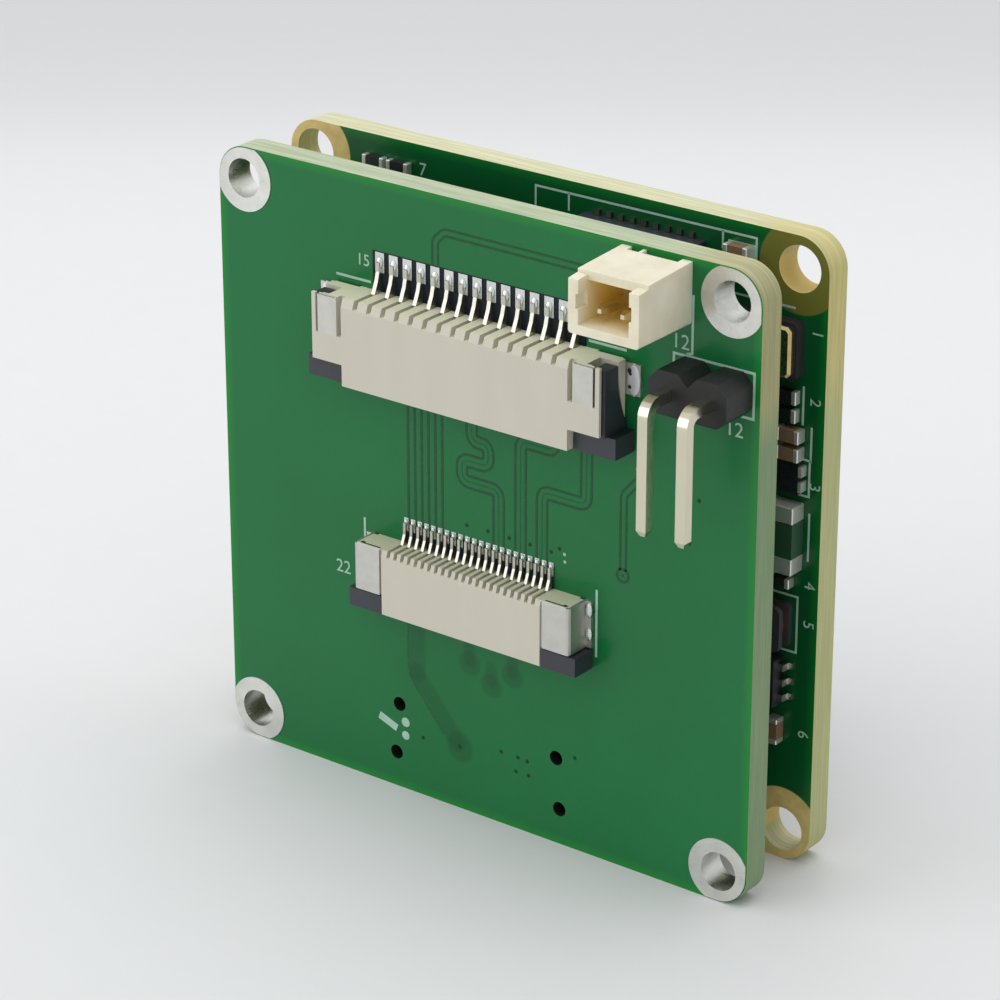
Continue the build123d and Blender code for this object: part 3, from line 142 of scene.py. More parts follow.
class Graph(Tree):
    """One material's nodes. Places reach its textures in millimetres."""

    def __init__(self, name):
        self.material = bpy.data.materials.new(name)
        self.material.use_nodes = True
        super().__init__(self.material.node_tree)
        self.tree.nodes.clear()
        self.shader = self.node("ShaderNodeBsdfPrincipled")
        output = self.node("ShaderNodeOutputMaterial")
        self.link(self.shader.outputs["BSDF"], output.inputs["Surface"])
        place = self.node("ShaderNodeTexCoord")
        self.normal = place.outputs["Normal"]
        scaled = self.node("ShaderNodeVectorMath", operation="SCALE")
        scaled.inputs["Scale"].default_value = 1 / MM
        self.link(place.outputs["Object"], scaled.inputs[0])
        self.place = scaled.outputs["Vector"]

    def set(self, name, value):
        self.feed(self.shader.inputs[name], value)

    def axes(self, vector=None):
        made = self.node("ShaderNodeSeparateXYZ")
        self.link(self.place if vector is None else vector, made.inputs[0])
        return made.outputs["X"], made.outputs["Y"], made.outputs["Z"]

    def stretched(self, x, y, z):
        """Places scaled along each axis: under 1 draws a texture out, over 1 squeezes it."""
        scaled = self.node("ShaderNodeVectorMath", operation="MULTIPLY")
        self.link(self.place, scaled.inputs[0])
        scaled.inputs[1].default_value = (x, y, z)
        return scaled.outputs["Vector"]

    def noise(self, scale, detail=3.0, roughness=0.55, place=None):
        made = self.node("ShaderNodeTexNoise")
        self.link(self.place if place is None else place, made.inputs["Vector"])
        made.inputs["Scale"].default_value = scale
        made.inputs["Detail"].default_value = detail
        made.inputs["Roughness"].default_value = roughness
        return made.outputs["Fac"]

    def cells(self, scale):
        made = self.node("ShaderNodeTexVoronoi")
        self.link(self.place, made.inputs["Vector"])
        made.inputs["Scale"].default_value = scale
        return made.outputs["Distance"]

    def run_distance(self, x, z, start, end):
        """Distance in the XZ plane from a straight run between two points."""
        run = (end[0] - start[0], end[1] - start[1])
        length = math.hypot(*run)
        along = (run[0] / length, run[1] / length)
        off_x = self.math("SUBTRACT", x, start[0])
        off_z = self.math("SUBTRACT", z, start[1])
        ahead = self.math("ADD", self.math("MULTIPLY", off_x, along[0]),
                          self.math("MULTIPLY", off_z, along[1]))
        kept = self.math("MINIMUM", self.math("MAXIMUM", ahead, 0.0), length)
        return self.length(self.math("SUBTRACT", off_x, self.math("MULTIPLY", kept, along[0])),
                           self.math("SUBTRACT", off_z, self.math("MULTIPLY", kept, along[1])))

    def varied(self, pattern, colour, amount, limits=NOISE_RANGE):
        """The colour, a share darker to a share lighter with a pattern."""
        return self.mix(self.remap(pattern, *limits),
                        shaded(colour, 1 - amount), shaded(colour, 1 + amount))

    def rough(self, pattern, middle, amount, limits=NOISE_RANGE):
        """Sets the roughness, which goes up and down from its middle with a pattern."""
        self.set("Roughness", self.remap(pattern, *limits, middle - amount, middle + amount))

    def bump(self, height, depth, strength=0.6):
        """Sets the normal from a height, with its depth in millimetres."""
        made = self.node("ShaderNodeBump")
        made.inputs["Strength"].default_value = strength
        made.inputs["Distance"].default_value = depth * MM
        self.link(height, made.inputs["Height"])
        self.link(made.outputs["Normal"], self.shader.inputs["Normal"])


def moulded(name, colour, roughness=0.5, vary=0.06, grain=9.0, depth=0.006, top=None):
    """Moulded plastic: faint flow marks, fine grain and slight changes of tone.

    top, where given, is a lighter colour for the faces that look up: a painted highlight of the
    light from above.
    """
    graph = Graph(name)
    flow = graph.noise(0.5, detail=4.0, place=graph.stretched(1.0, 1.0, 0.25))
    fine = graph.noise(grain, detail=5.0, roughness=0.65)
    base = graph.varied(flow, colour, vary)
    if top:
        # Painted highlight: faces that look up take the lighter top colour.
        base = graph.mix(graph.remap(graph.axes(graph.normal)[2], 0.5, 0.9), base, top)
    specks = graph.remap(fine, 0.66, 0.78, 0.0, 0.25)
    graph.set("Base Color", graph.mix(specks, base, shaded(colour, 0.6)))
    graph.rough(fine, roughness, 0.07)
    graph.bump(fine, depth)
    return graph.material


def metal(name, colour, roughness=0.3, vary=0.12, scale=3.0, depth=0.006,
          brushed=(1.0, 1.0, 1.0), stains=0.3, spread=0.09, metallic=1.0):
    """Plated or rolled metal with uneven polish and small stains."""
    graph = Graph(name)
    broad = graph.noise(scale * 0.3, detail=3.0)
    fine = graph.noise(scale * 4, detail=5.0, roughness=0.6, place=graph.stretched(*brushed))
    base = graph.varied(broad, colour, vary, limits=(0.35, 0.65))
    stain = graph.remap(graph.noise(scale, detail=4.0), 0.62, 0.75, 0.0, stains)
    graph.set("Base Color", graph.mix(stain, base, shaded(colour, 0.55)))
    graph.set("Metallic", metallic)
    graph.rough(fine, roughness, spread)
    graph.bump(fine, depth)
    return graph.material


# The power socket's wall, floor and roof thicknesses, the depths into its mouth between which
# a painted amber glow of light through its walls comes in, and how softly the glow ends at the
# sides and at the floor and roof.
POWER_WALL = 0.5
POWER_ROOF = 0.6
POWER_DEPTHS = (0.15, 2.2)
POWER_SIDE_BLEND = 0.1
POWER_BLEND = 0.08


def cream_nylon():
    """Cream-white nylon of the power socket, with a painted amber glow deep inside its mouth for
    light through its translucent walls.
    """
    graph = Graph("cream_nylon")
    low, high = (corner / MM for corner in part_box("power_socket_housing"))
    tone = graph.noise(0.6, detail=4.0)
    fine = graph.noise(6.0, detail=5.0, roughness=0.65)
    base = graph.mix(graph.remap(tone, *NOISE_RANGE), srgb(229, 221, 194), srgb(242, 236, 214))
    x, y, z = graph.axes()
    aside = graph.math("ABSOLUTE", graph.math("SUBTRACT", x, (low.x + high.x) / 2))
    half = (high.x - low.x) / 2 - POWER_WALL
    floor_z = low.z + POWER_WALL
    roof_z = high.z - POWER_ROOF
    # Painted glow of light through the translucent walls, deep inside the mouth.
    painted_glow = graph.product(
        graph.remap(aside, half - POWER_SIDE_BLEND, half, 1.0, 0.0),
        graph.remap(z, floor_z - POWER_BLEND, floor_z),
        graph.remap(z, roof_z - POWER_BLEND, roof_z, 1.0, 0.0),
        graph.remap(y, low.y + POWER_DEPTHS[0], low.y + POWER_DEPTHS[1]))
    graph.set("Base Color", graph.mix(painted_glow, base, srgb(255, 226, 138)))
    graph.rough(fine, 0.43, 0.07)
    graph.set("Subsurface Weight", 0.3)
    graph.set("Subsurface Radius", (1.0, 0.6, 0.3))
    graph.set("Subsurface Scale", 0.5 * MM)
    graph.bump(fine, 0.006)
    return graph.material


def fired(name, colour, roughness=0.45, vary=0.15, grain=14.0):
    """Fired ceramic or ferrite: granular tone and a little sparkle in the gloss."""
    graph = Graph(name)
    grains = graph.cells(grain)
    base = graph.varied(grains, colour, vary, limits=CELL_RANGE)
    shade = graph.remap(graph.noise(1.2, detail=4.0), 0.3, 0.8, 0.0, 0.35)
    graph.set("Base Color", graph.mix(shade, base, shaded(colour, 0.75)))
    graph.rough(grains, roughness, 0.1, limits=CELL_RANGE)
    graph.bump(grains, 0.004)
    return graph.material


def clear_glass(name, tint, coating):
    """Polished glass with a coating that tints its slanted reflections."""
    graph = Graph(name)
    facing = graph.node("ShaderNodeLayerWeight")
    facing.inputs["Blend"].default_value = 0.35
    graph.set("Base Color", graph.mix(facing.outputs["Facing"], tint, coating))
    dust = graph.noise(5.0, detail=3.0)
    graph.set("Roughness", graph.remap(dust, 0.68, 0.8, 0.02, 0.06))
    graph.set("Transmission Weight", 0.97)
    graph.set("IOR", 1.52)
    return graph.material


# Depths in from a board's outline: the mask's margin, its inner limit first, and the depth from
# which a cut face is a hole's wall.
MARGIN_DEPTHS = (0.6, 0.15)
WALL_DEPTHS = (1.6, 1.4)
# z and x ranges over which the upper corner at high x turns in colour: bare laminate, in painted
# shadow, and cut edge.
PAINTED_SHADOW_Z, PAINTED_SHADOW_X = (12.0, 30.0), (-8.0, 12.0)
WORN_Z, WORN_X = (28.0, 30.5), (12.5, 16.0)
# How softly the bare rings and the layer below end.
RING_BLEND = 0.08
BURIED_BLEND = 0.12


def board_material(name, mask, margin, bare, edge, worn, wall, ring, buried=()):
    """Solder mask on both faces, laminate on every cut edge and hole wall.

    bare holds the bare laminate's colour and a darker one, a painted shadow of the other board on
    the connector side in the upper corner at high x; edge holds the colours of the upright edges
    and of the top one, painted shade and painted highlight of the light from above; worn is that
    of the edge round the same corner, and wall that of the hole walls. ring is the radius in
    millimetres round each corner hole that the mask leaves bare, and buried holds the copper of
    the layer below, as (start, end, half width) of each run.
    """
    graph = Graph(name)
    _, across, upward = graph.axes(graph.normal)
    x, _, z = graph.axes()
    aside_x = graph.math("ABSOLUTE", x)
    aside_z = graph.math("ABSOLUTE", graph.math("SUBTRACT", z, BOARD_MIDDLE))
    reach = graph.math("MAXIMUM", aside_x, aside_z)
    weave = graph.noise(2.2, detail=3.0, roughness=0.7)
    fray = graph.noise(6.0, detail=5.0, roughness=0.7)

    # The mask, with the weave and the layer below showing through, and its clearer margin.
    masked = graph.varied(graph.noise(0.09, detail=2.0), mask, 0.07)
    masked = graph.mix(graph.remap(weave, 0.35, 0.75, 0.0, 0.16), masked, shaded(mask, 0.86))
    for start, end, half_width in buried:
        away = graph.run_distance(x, z, start, end)
        shows = graph.remap(away, half_width - BURIED_BLEND, half_width + BURIED_BLEND, 0.32, 0.0)
        masked = graph.mix(shows, masked, shaded(mask, 0.3))
    margin_start, margin_end = (BOARD_MIDDLE - depth for depth in MARGIN_DEPTHS)
    masked = graph.mix(graph.remap(reach, margin_start, margin_end, 0.0, 0.9), masked, margin)

    # Bare laminate in the rings round the corner holes, darker on the connector side in the upper
    # corner at high x as a painted shadow of the other board.
    radius = graph.length(graph.math("SUBTRACT", aside_x, HOLE_OFFSET),
                          graph.math("SUBTRACT", aside_z, HOLE_OFFSET))
    inside_ring = graph.remap(radius, ring, ring + RING_BLEND, 1.0, 0.0)
    connector_side = graph.remap(across, -0.9, -0.5, 1.0, 0.0)
    # Share of painted shadow over the bare laminate in the upper corner at high x.
    corner = graph.product(graph.remap(z, *PAINTED_SHADOW_Z), graph.remap(x, *PAINTED_SHADOW_X), connector_side)
    mottle = graph.remap(graph.noise(1.6, detail=4.0), 0.3, 0.75, 0.3, 0.0)
    laminate = graph.mix(mottle, graph.mix(corner, *bare), shaded(bare[1], 0.8))

    # Cut edges with their layers and frayed fibres, the upright ones darker and the top one
    # lighter as painted shade and highlight, and the hole walls.
    layers = graph.noise(1.0, detail=3.0, place=graph.stretched(0.25, 7.0, 0.25))
    cut = graph.mix(graph.remap(upward, 0.2, 0.9), *edge)
    turn = graph.product(graph.remap(z, *WORN_Z), graph.remap(x, *WORN_X, 0.0, 0.7))
    cut = graph.mix(turn, cut, worn)
    cut = graph.mix(graph.remap(layers, 0.4, 0.62, 0.32, 0.0), cut, shaded(edge[0], 0.6))
    cut = graph.mix(graph.remap(fray, 0.6, 0.8, 0.0, 0.3), cut, shaded(edge[0], 0.5))
    wall_start, wall_end = (BOARD_MIDDLE - depth for depth in WALL_DEPTHS)
    cut = graph.mix(graph.remap(reach, wall_start, wall_end, 1.0, 0.0), cut, wall)

    face = graph.math("GREATER_THAN", graph.math("ABSOLUTE", across), 0.5)
    graph.set("Base Color", graph.mix(face, cut, graph.mix(inside_ring, masked, laminate)))
    uncovered = graph.math("MAXIMUM", inside_ring, graph.math("SUBTRACT", 1.0, face))
    graph.set("Roughness", graph.remap(uncovered, 0.0, 1.0, 0.24, 0.72))
    graph.set("Specular IOR Level", 0.3)
    height = graph.math("ADD", graph.math("MULTIPLY", weave, 0.6),
                        graph.product(fray, uncovered, 3.0))
    graph.bump(height, 0.008, strength=0.45)
    return graph.material


def film(name, colour, roughness=0.6, vary=0.08, patchy=0.0, under=None):
    """Print or a thin patch: slightly uneven, and worn through where patchy is above zero."""
    graph = Graph(name)
    broad = graph.noise(1.5, detail=4.0)
    base = graph.varied(broad, colour, vary)
    if patchy:
        worn = graph.remap(graph.noise(9.0, detail=5.0, roughness=0.7), 0.62, 0.72, 0.0, patchy)
        base = graph.mix(worn, base, under)
    graph.set("Base Color", base)
    graph.rough(broad, roughness, 0.05)
    graph.set("Specular IOR Level", 0.3)
    return graph.material


def iridescent(name):
    """Polished silicon with stripes of two tones and a fine grid in its gloss."""
    graph = Graph(name)
    stripe = graph.math("SINE", graph.math("MULTIPLY", graph.axes()[0], 4.0))
    tone = graph.remap(graph.math("ADD", stripe, graph.noise(0.8)), -1.0, 2.0)
    graph.set("Base Color", graph.mix(tone, srgb(64, 52, 88), srgb(60, 104, 96)))
    graph.set("Metallic", 0.6)
    graph.rough(graph.cells(12.0), 0.16, 0.04, limits=CELL_RANGE)
    return graph.material


MASK = srgb(20, 111, 58)
MARGIN = srgb(24, 130, 48)
SILK = srgb(168, 200, 180)

# Copper of the layer below, seen faintly through the mask: start, end and half width of each run.
BURIED_RUNS = (
    ((-4.6, 12.5), (-4.6, 7.9), 0.62),
    ((-4.6, 7.9), (-1.6, 4.3), 0.62),
    ((-1.42, 4.06), (-1.4, 4.0), 0.95),
    ((-0.66, 10.7), (-0.66, 9.9), 0.42),
    ((-0.72, 9.75), (-0.6, 9.7), 0.72),
    ((0.94, 9.8), (0.94, 9.0), 0.42),
    ((0.88, 8.75), (1.0, 8.7), 0.72),
    ((2.47, 10.8), (2.47, 10.0), 0.42),
    ((2.41, 9.8), (2.53, 9.75), 0.72),
)

# The upright and top edge colours of both boards are painted shade and painted highlight.
front_board = board_material(
    "solder_mask_front", MASK, MARGIN, bare=(srgb(196, 186, 130), srgb(196, 186, 130)),
    edge=(srgb(140, 162, 122), srgb(198, 208, 176)), worn=srgb(196, 182, 132),
    wall=srgb(22, 30, 18), ring=0.0, buried=BURIED_RUNS)
# The sensor board's mask and margin are painted darker as shade in the gap between the boards, and
# its second bare colour is a painted shadow.
rear_board = board_material(
    "solder_mask_rear", shaded(MASK, 0.58), shaded(MARGIN, 0.7),
    bare=(srgb(232, 204, 130), srgb(112, 112, 38)),
    edge=(srgb(196, 198, 142), srgb(228, 226, 188)), worn=srgb(222, 206, 134),
    wall=srgb(226, 200, 128), ring=2.6)
tin = metal("bright_tin", srgb(214, 218, 214), roughness=0.26, vary=0.06, scale=2.5)
ring_tin = metal("levelled_tin", srgb(218, 218, 212), roughness=0.34, vary=0.1, scale=1.4,
                 depth=0.02)
contact_tin = metal("contact_tin", srgb(198, 196, 183), roughness=0.34, vary=0.03, scale=5.0,
                    depth=0.001, brushed=(1.0, 1.0, 0.3), stains=0.1, spread=0.05)
chip_tin = metal("chip_tin", srgb(226, 224, 216), roughness=0.36, vary=0.05, scale=2.0,
                 depth=0.0006, stains=0.2, spread=0.05, metallic=0.7)
tab_solder = metal("tab_solder", srgb(222, 222, 226), roughness=0.4, vary=0.06, scale=6.0,
                   metallic=0.3)
sheet = metal("dull_sheet", srgb(200, 199, 193), roughness=0.5, vary=0.04, scale=4.0, stains=0.1)
gold = metal("pale_gold", srgb(214, 209, 187), roughness=0.2, vary=0.02, scale=1.5,
             depth=0.0004, brushed=(1.0, 1.0, 0.25), stains=0.04, spread=0.03)
link_tin = metal("link_tin", srgb(120, 116, 108), roughness=0.4)
lid_plating = metal("plated_lid", srgb(196, 178, 128), roughness=0.32)
# The ivory's top colour is a painted highlight on its upward faces.
ivory = moulded("ivory_nylon", srgb(206, 201, 185), roughness=0.52, vary=0.02, grain=7.0,
                top=srgb(226, 224, 194))
cream = cream_nylon()
slide_black = moulded("slide_plastic", srgb(50, 52, 60), roughness=0.46, vary=0.1, grain=8.0)
header_black = moulded("header_plastic", srgb(20, 21, 20), roughness=0.56, vary=0.1, grain=6.0,
                       depth=0.012)
link_violet = moulded("link_plastic", srgb(46, 48, 56), roughness=0.5)
epoxy = moulded("package_epoxy", srgb(34, 34, 36), roughness=0.42, vary=0.12, grain=12.0)
lens_black = moulded("lens_plastic", srgb(26, 26, 27), roughness=0.55, vary=0.15, grain=8.0,
                     depth=0.01)
fuse_green = moulded("fuse_laminate", srgb(40, 78, 52), roughness=0.5)
screw_black = metal("black_zinc", srgb(70, 70, 72), roughness=0.36, vary=0.15)
copper_wire = metal("enamelled_wire", srgb(206, 120, 62), roughness=0.3, brushed=(1.0, 6.0, 1.0))
chip_brown = fired("capacitor_body", srgb(132, 104, 78))
chip_black = fired("resistor_glaze", srgb(32, 32, 36), roughness=0.3)
case_dark = fired("crystal_case", srgb(46, 42, 44))
sensor_dark = fired("sensor_package", srgb(60, 58, 58))
ferrite = fired("ferrite", srgb(52, 52, 55), roughness=0.6)
die_silicon = iridescent("sensor_die")
lens_glass = clear_glass("lens_glass", srgb(116, 128, 150), srgb(120, 84, 176))
cover_glass = clear_glass("cover_glass", srgb(246, 252, 250), srgb(200, 230, 240))
filter_glass = clear_glass("filter_glass", srgb(170, 226, 214), srgb(220, 120, 130))
silk_ink = film("silk_ink", SILK, roughness=0.62, patchy=0.5, under=MASK)
track_gap = film("track_gap", srgb(24, 78, 44), roughness=0.26)
track_gap_soft = film("track_gap_soft", srgb(25, 92, 52), roughness=0.26)
via_dark = film("via_dark", srgb(10, 48, 26), roughness=0.35)
# The folds' lighter colour is a painted highlight; the slits' dark film is painted shade, and it
# also colours the dark specks of the pits.
lit_cap_fold = film("lit_cap_fold", srgb(222, 219, 200), roughness=0.5, vary=0.04)
slit_shade_and_specks = film("slit_shade_and_specks", srgb(52, 54, 40), roughness=0.6)
# Near black for the bare strips and the painted shade between and over the contact pads.
bare_strip_and_shade = film("bare_strip_and_shade", srgb(8, 22, 32), roughness=0.6)

FINISHES = {
    "interface_board": front_board,
    "sensor_board": rear_board,
    "interface_board_plating": ring_tin,
    "contact_pads": tin,
    "wide_socket_housing": ivory,
    "wide_socket_contacts": contact_tin,
    "wide_socket_slide_lock": slide_black,
    "wide_socket_hold_downs": sheet,
    "narrow_socket_housing": ivory,
    "narrow_socket_contacts": contact_tin,
    "narrow_socket_slide_lock": slide_black,
    "narrow_socket_end_caps": sheet,
    "power_socket_housing": cream,
    "power_socket_pins": gold,
    "pin_header_body": header_black,
    "pin_header_pins": gold,
    "board_link_plug_housing": link_violet,
    "board_link_plug_contacts": link_tin,
    "board_link_receptacle_housing": link_violet,
    "board_link_receptacle_contacts": link_tin,
    "image_processor": epoxy,
    "image_sensor_package": sensor_dark,
    "image_sensor_die": die_silicon,
    "image_sensor_cover_glass": cover_glass,
    "infrared_filter": filter_glass,
    "lens_holder": lens_black,
    "lens_holder_screws": screw_black,
    "lens_barrel": lens_black,
    "lens_front_element": lens_glass,
    "lens_rear_element": lens_glass,
    "lens_retaining_ring": lens_black,
    "crystal_case": case_dark,
    "crystal_lid": lid_plating,
    "chip_resistors": chip_black,
    "chip_capacitors": chip_brown,
    "chip_end_caps": chip_tin,
    "power_fuse_body": fuse_green,
    "power_fuse_terminals": chip_tin,
    "diode_body": epoxy,
    "diode_terminals": chip_tin,
    "resistor_array_body": chip_black,
    "resistor_array_terminals": chip_tin,
    "power_inductor_core": ferrite,
    "power_inductor_winding": copper_wire,
    "voltage_regulator_body": epoxy,
    "voltage_regulator_leads": contact_tin,
}
for node_name, finish in FINISHES.items():
    nodes[node_name].data.materials.clear()
    nodes[node_name].data.materials.append(finish)


# Flat pieces on a board's face, and the shapes they are drawn with.

def turned(centre, radius, share):
    """The point a share of a turn round a circle."""
    angle = 2 * math.pi * share
    return (centre[0] + radius * math.cos(angle), centre[1] + radius * math.sin(angle))


def offset(path, distance):
    """The same path moved sideways, mitred at its corners."""
    sharpest = 0.3
    moved = []
    for index, point in enumerate(path):
        point = Vector(point)
        before = (point - Vector(path[index - 1])).normalized() if index else None
        after = (Vector(path[index + 1]) - point).normalized() if index + 1 < len(path) else None
        first = before or after
        second = after or before
        side = Vector((-first.y - second.y, first.x + second.x)).normalized()
        reach = distance / max(sharpest, side.dot(Vector((-first.y, first.x))))
        moved.append(tuple(point + side * reach))
    return moved


def rounded(path, radius, steps=7):
    """A path of straight runs with an arc at each inner corner."""
    points = [path[0]]
    for index in range(1, len(path) - 1):
        corner = Vector(path[index])
        back = Vector(path[index - 1]) - corner
        ahead = Vector(path[index + 1]) - corner
        reach = min(radius, back.length / 2, ahead.length / 2)
        start = corner + back.normalized() * reach
        end = corner + ahead.normalized() * reach
        for step in range(steps + 1):
            share = step / steps
            points.append(tuple(start.lerp(corner, share).lerp(corner.lerp(end, share), share)))
    points.append(path[-1])
    return points


def piece_from(mesh, name, material, body, smooth=False):
    """Makes a piece of the object from a bmesh in world axes, and frees the bmesh."""
    bmesh.ops.recalc_face_normals(mesh, faces=mesh.faces)
    data = bpy.data.meshes.new(name)
    mesh.to_mesh(data)
    mesh.free()
    for polygon in data.polygons:
        polygon.use_smooth = smooth
    data.materials.append(material)
    piece = bpy.data.objects.new(name, data)
    bpy.context.scene.collection.objects.link(piece)
    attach(piece, body)


class Film:
    """Thin flat shapes that lie on one board face. Points are (x, z) in millimetres."""

    def __init__(self, name, face_y, outward, height=FILM):
        self.name = name
        self.low = face_y
        self.high = face_y + outward * height
        self.mesh = bmesh.new()

    def prism(self, outline, cells):
        """A thin prism over an outline, with its flat faces split into cells of its corners."""
        low, high = ([self.mesh.verts.new((x * MM, y * MM, z * MM)) for x, z in outline]
                     for y in (self.low, self.high))
        for cell in cells:
            self.mesh.faces.new([high[corner] for corner in cell])
            self.mesh.faces.new([low[corner] for corner in reversed(cell)])
        for index in range(len(outline)):
            after = (index + 1) % len(outline)
            self.mesh.faces.new((low[index], low[after], high[after], high[index]))

    def cell(self, corners):
        """A thin prism over a flat convex polygon."""
        self.prism(corners, [range(len(corners))])

    def line(self, path, width):
        """A strip of one width along a path, with mitred corners."""
        last = 2 * len(path) - 1
        self.prism(offset(path, width / 2) + offset(path, -width / 2)[::-1],
                   [(index, index + 1, last - 1 - index, last - index)
                    for index in range(len(path) - 1)])

    def box_line(self, x_range, z_range, width):
        """The outline of a rectangle, each side shifted along itself to meet the next one."""
        corners = [(x_range[0], z_range[0]), (x_range[1], z_range[0]),
                   (x_range[1], z_range[1]), (x_range[0], z_range[1])]
        for index, corner in enumerate(corners):
            start, end = Vector(corner), Vector(corners[(index + 1) % 4])
            along = (end - start).normalized() * width / 2 * (1 if index % 2 else -1)
            self.line([tuple(start + along), tuple(end - along)], width)

    def band(self, half_width, low, high):
        """A rectangle that reaches as far to both sides of the middle."""
        self.cell([(-half_width, low), (half_width, low), (half_width, high), (-half_width, high)])

    def disc(self, centre, radius, steps=28):
        self.cell([turned(centre, radius, index / steps) for index in range(steps)])

    def ring(self, centre, outer, inner, steps=28):
        for index in range(steps):
            share, after = index / steps, (index + 1) / steps
            self.cell([turned(centre, inner, share), turned(centre, outer, share),
                       turned(centre, outer, after), turned(centre, inner, after)])

    def finish(self, material, slot="board_laminate"):
        piece_from(self.mesh, self.name, material, ROOT)


# Tracks, vias and mask openings of the connector side; the openings are painted near black as the
# shade between the contacts. Runs end where a socket or pad hides them.
SOCKET_HIDDEN_Z = 27.4
PAD_HIDDEN_Z = 17.2
BUNDLE_XS = (-5.1, -4.6, -4.1, -3.6, -3.1, -2.6)
BUNDLE_WIDTH = 0.17
PAIR_PATHS = (
    [(-0.47, SOCKET_HIDDEN_Z), (-0.47, 23.75), (0.72, 23.75), (0.72, 22.47), (-1.18, 22.47),
     (-1.18, 21.18), (1.46, 21.18), (1.46, PAD_HIDDEN_Z)],
    [(5.4, SOCKET_HIDDEN_Z), (5.4, 24.63), (3.02, 24.63), (3.02, PAD_HIDDEN_Z)],
    [(7.62, SOCKET_HIDDEN_Z), (7.62, 21.92), (4.54, 21.92), (4.54, PAD_HIDDEN_Z)],
)
SINGLE_PATHS = (
    [(11.5, 24.65), (10.19, 23.18), (10.19, 18.6)],
    [(-3.02, 33.2), (-3.02, 35.25), (-2.37, 35.86), (9.9, 35.8)],
)
# Corner radius of a track, distance of the gaps beside it and their width.
PAIR_GAPS = (0.55, 0.37, 0.15)
SINGLE_GAPS = (0.25, 0.2, 0.14)
PAIR_MIDDLE_WIDTH = 0.08
BURIED_EDGE = ((-5.27, 12.5), (-5.27, 8.0), (-4.85, 7.2), (-2.6, 4.5))
BURIED_EDGE_RADIUS = 0.4
BURIED_EDGE_WIDTH = 0.1
# The land at a track's end: its middle, the outer and inner radius of its gap, and its hole's.
TRACK_END = (10.19, 18.3)
TRACK_END_GAP = (0.47, 0.31)
TRACK_END_HOLE = 0.1
VIA_RADIUS = 0.12
VIAS = ((-4.17, 3.8), (1.66, 4.67), (2.89, 4.68), (3.56, 4.62), (3.66, 3.73), (2.74, 3.72),
        (6.99, 5.91), (5.21, 18.41), (5.79, 18.76), (15.22, 24.15), (14.64, 22.76),
        (14.61, 21.44), (-0.83, 18.45), (0.69, 18.47), (2.23, 18.47), (3.72, 18.46))
BURIED_VIA = (-1.42, 4.05)
BURIED_VIA_RADIUS = 0.13
# Half width, low z and high z of the bare strips, painted near black as the shade between the
# contacts, and of the painted shade over the pads behind the contact bends.
MASK_OPENINGS = ((7.55, 31.3, 33.75), (5.45, 16.1, 17.5))
CONTACT_SHADES = ((7.5, 31.36, 32.5), (5.4, 16.2, 16.95))


def gaps(layer, paths, radius, aside, width):
    """The gaps in the copper on both sides of each track."""
    for path in paths:
        for side in (-aside, aside):
            layer.line(offset(rounded(path, radius), side), width)


def front_tracks():
    """The connector side's tracks, seen through the mask by the gaps beside them."""
    dark = Film("front_track_gaps", FRONT_Y, -1)
    soft = Film("front_track_fine_gaps", FRONT_Y, -1, FINE_FILM)
    for x in BUNDLE_XS:
        dark.line([(x, SOCKET_HIDDEN_Z), (x, PAD_HIDDEN_Z)], BUNDLE_WIDTH)
    gaps(dark, PAIR_PATHS, *PAIR_GAPS)
    gaps(dark, SINGLE_PATHS, *SINGLE_GAPS)
    for path in PAIR_PATHS:
        soft.line(rounded(path, PAIR_GAPS[0]), PAIR_MIDDLE_WIDTH)
    dark.ring(TRACK_END, *TRACK_END_GAP)
    dark.disc(TRACK_END, TRACK_END_HOLE)
    dark.finish(track_gap)
    soft.finish(track_gap_soft)


def front_buried_edge():
    """The dark edge beside the widest track of the layer below."""
    edge = Film("front_buried_edge", FRONT_Y, -1, BURIED_FILM)
    edge.line(rounded(BURIED_EDGE, BURIED_EDGE_RADIUS), BURIED_EDGE_WIDTH)
    edge.finish(track_gap_soft)


def front_vias():
    vias = Film("front_vias", FRONT_Y, -1)
    for centre in VIAS:
        vias.disc(centre, VIA_RADIUS, steps=16)
    vias.disc(BURIED_VIA, BURIED_VIA_RADIUS, steps=16)
    vias.finish(via_dark)


def front_mask_openings():
    """Bare strips between and round the contact pads of both sockets, painted near black as the
    shade between the contacts, and painted shade over the pads behind the contact bends.
    """
    for name, height, bands in (("front_mask_openings", STRIP_FILM, MASK_OPENINGS),
                                ("front_contact_shade", PAD_HEIGHT + FILM, CONTACT_SHADES)):
        strips = Film(name, FRONT_Y, -1, height)
        for half_width, low, high in bands:
            strips.band(half_width, low, high)
        strips.finish(bare_strip_and_shade)


# Print. A frame is its x range and its z range, a stroke is its path, and a dot is its centre
# and its radius.
FRONT_STROKE = 0.15
FRONT_FRAMES = (((13.37, 18.59), (29.74, 32.35)),)
FRONT_STROKES = (
    ((-10.25, 31.75), (-7.7, 31.75)), ((10.25, 31.75), (7.7, 31.75)),
    ((-8.42, 12.75), (-8.42, 16.95)), ((8.42, 12.75), (8.42, 16.95)),
    ((9.6, 33.9), (9.6, 37.4), (9.95, 37.6)), ((14.56, 35.9), (14.56, 32.55), (14.2, 32.45)),
    ((11.0, 24.95), (11.9, 24.95)),
)
FRONT_DOTS = (((6.15, 18.51), 0.1), ((6.18, 18.05), 0.1))
MARK_BAR = ((-7.5, 4.35), (-6.15, 3.85))
MARK_BAR_WIDTH = 0.5
MARK_DOTS = (((-5.5, 4.42), 0.3), ((-5.5, 3.55), 0.28))
INNER_STROKE = 0.13
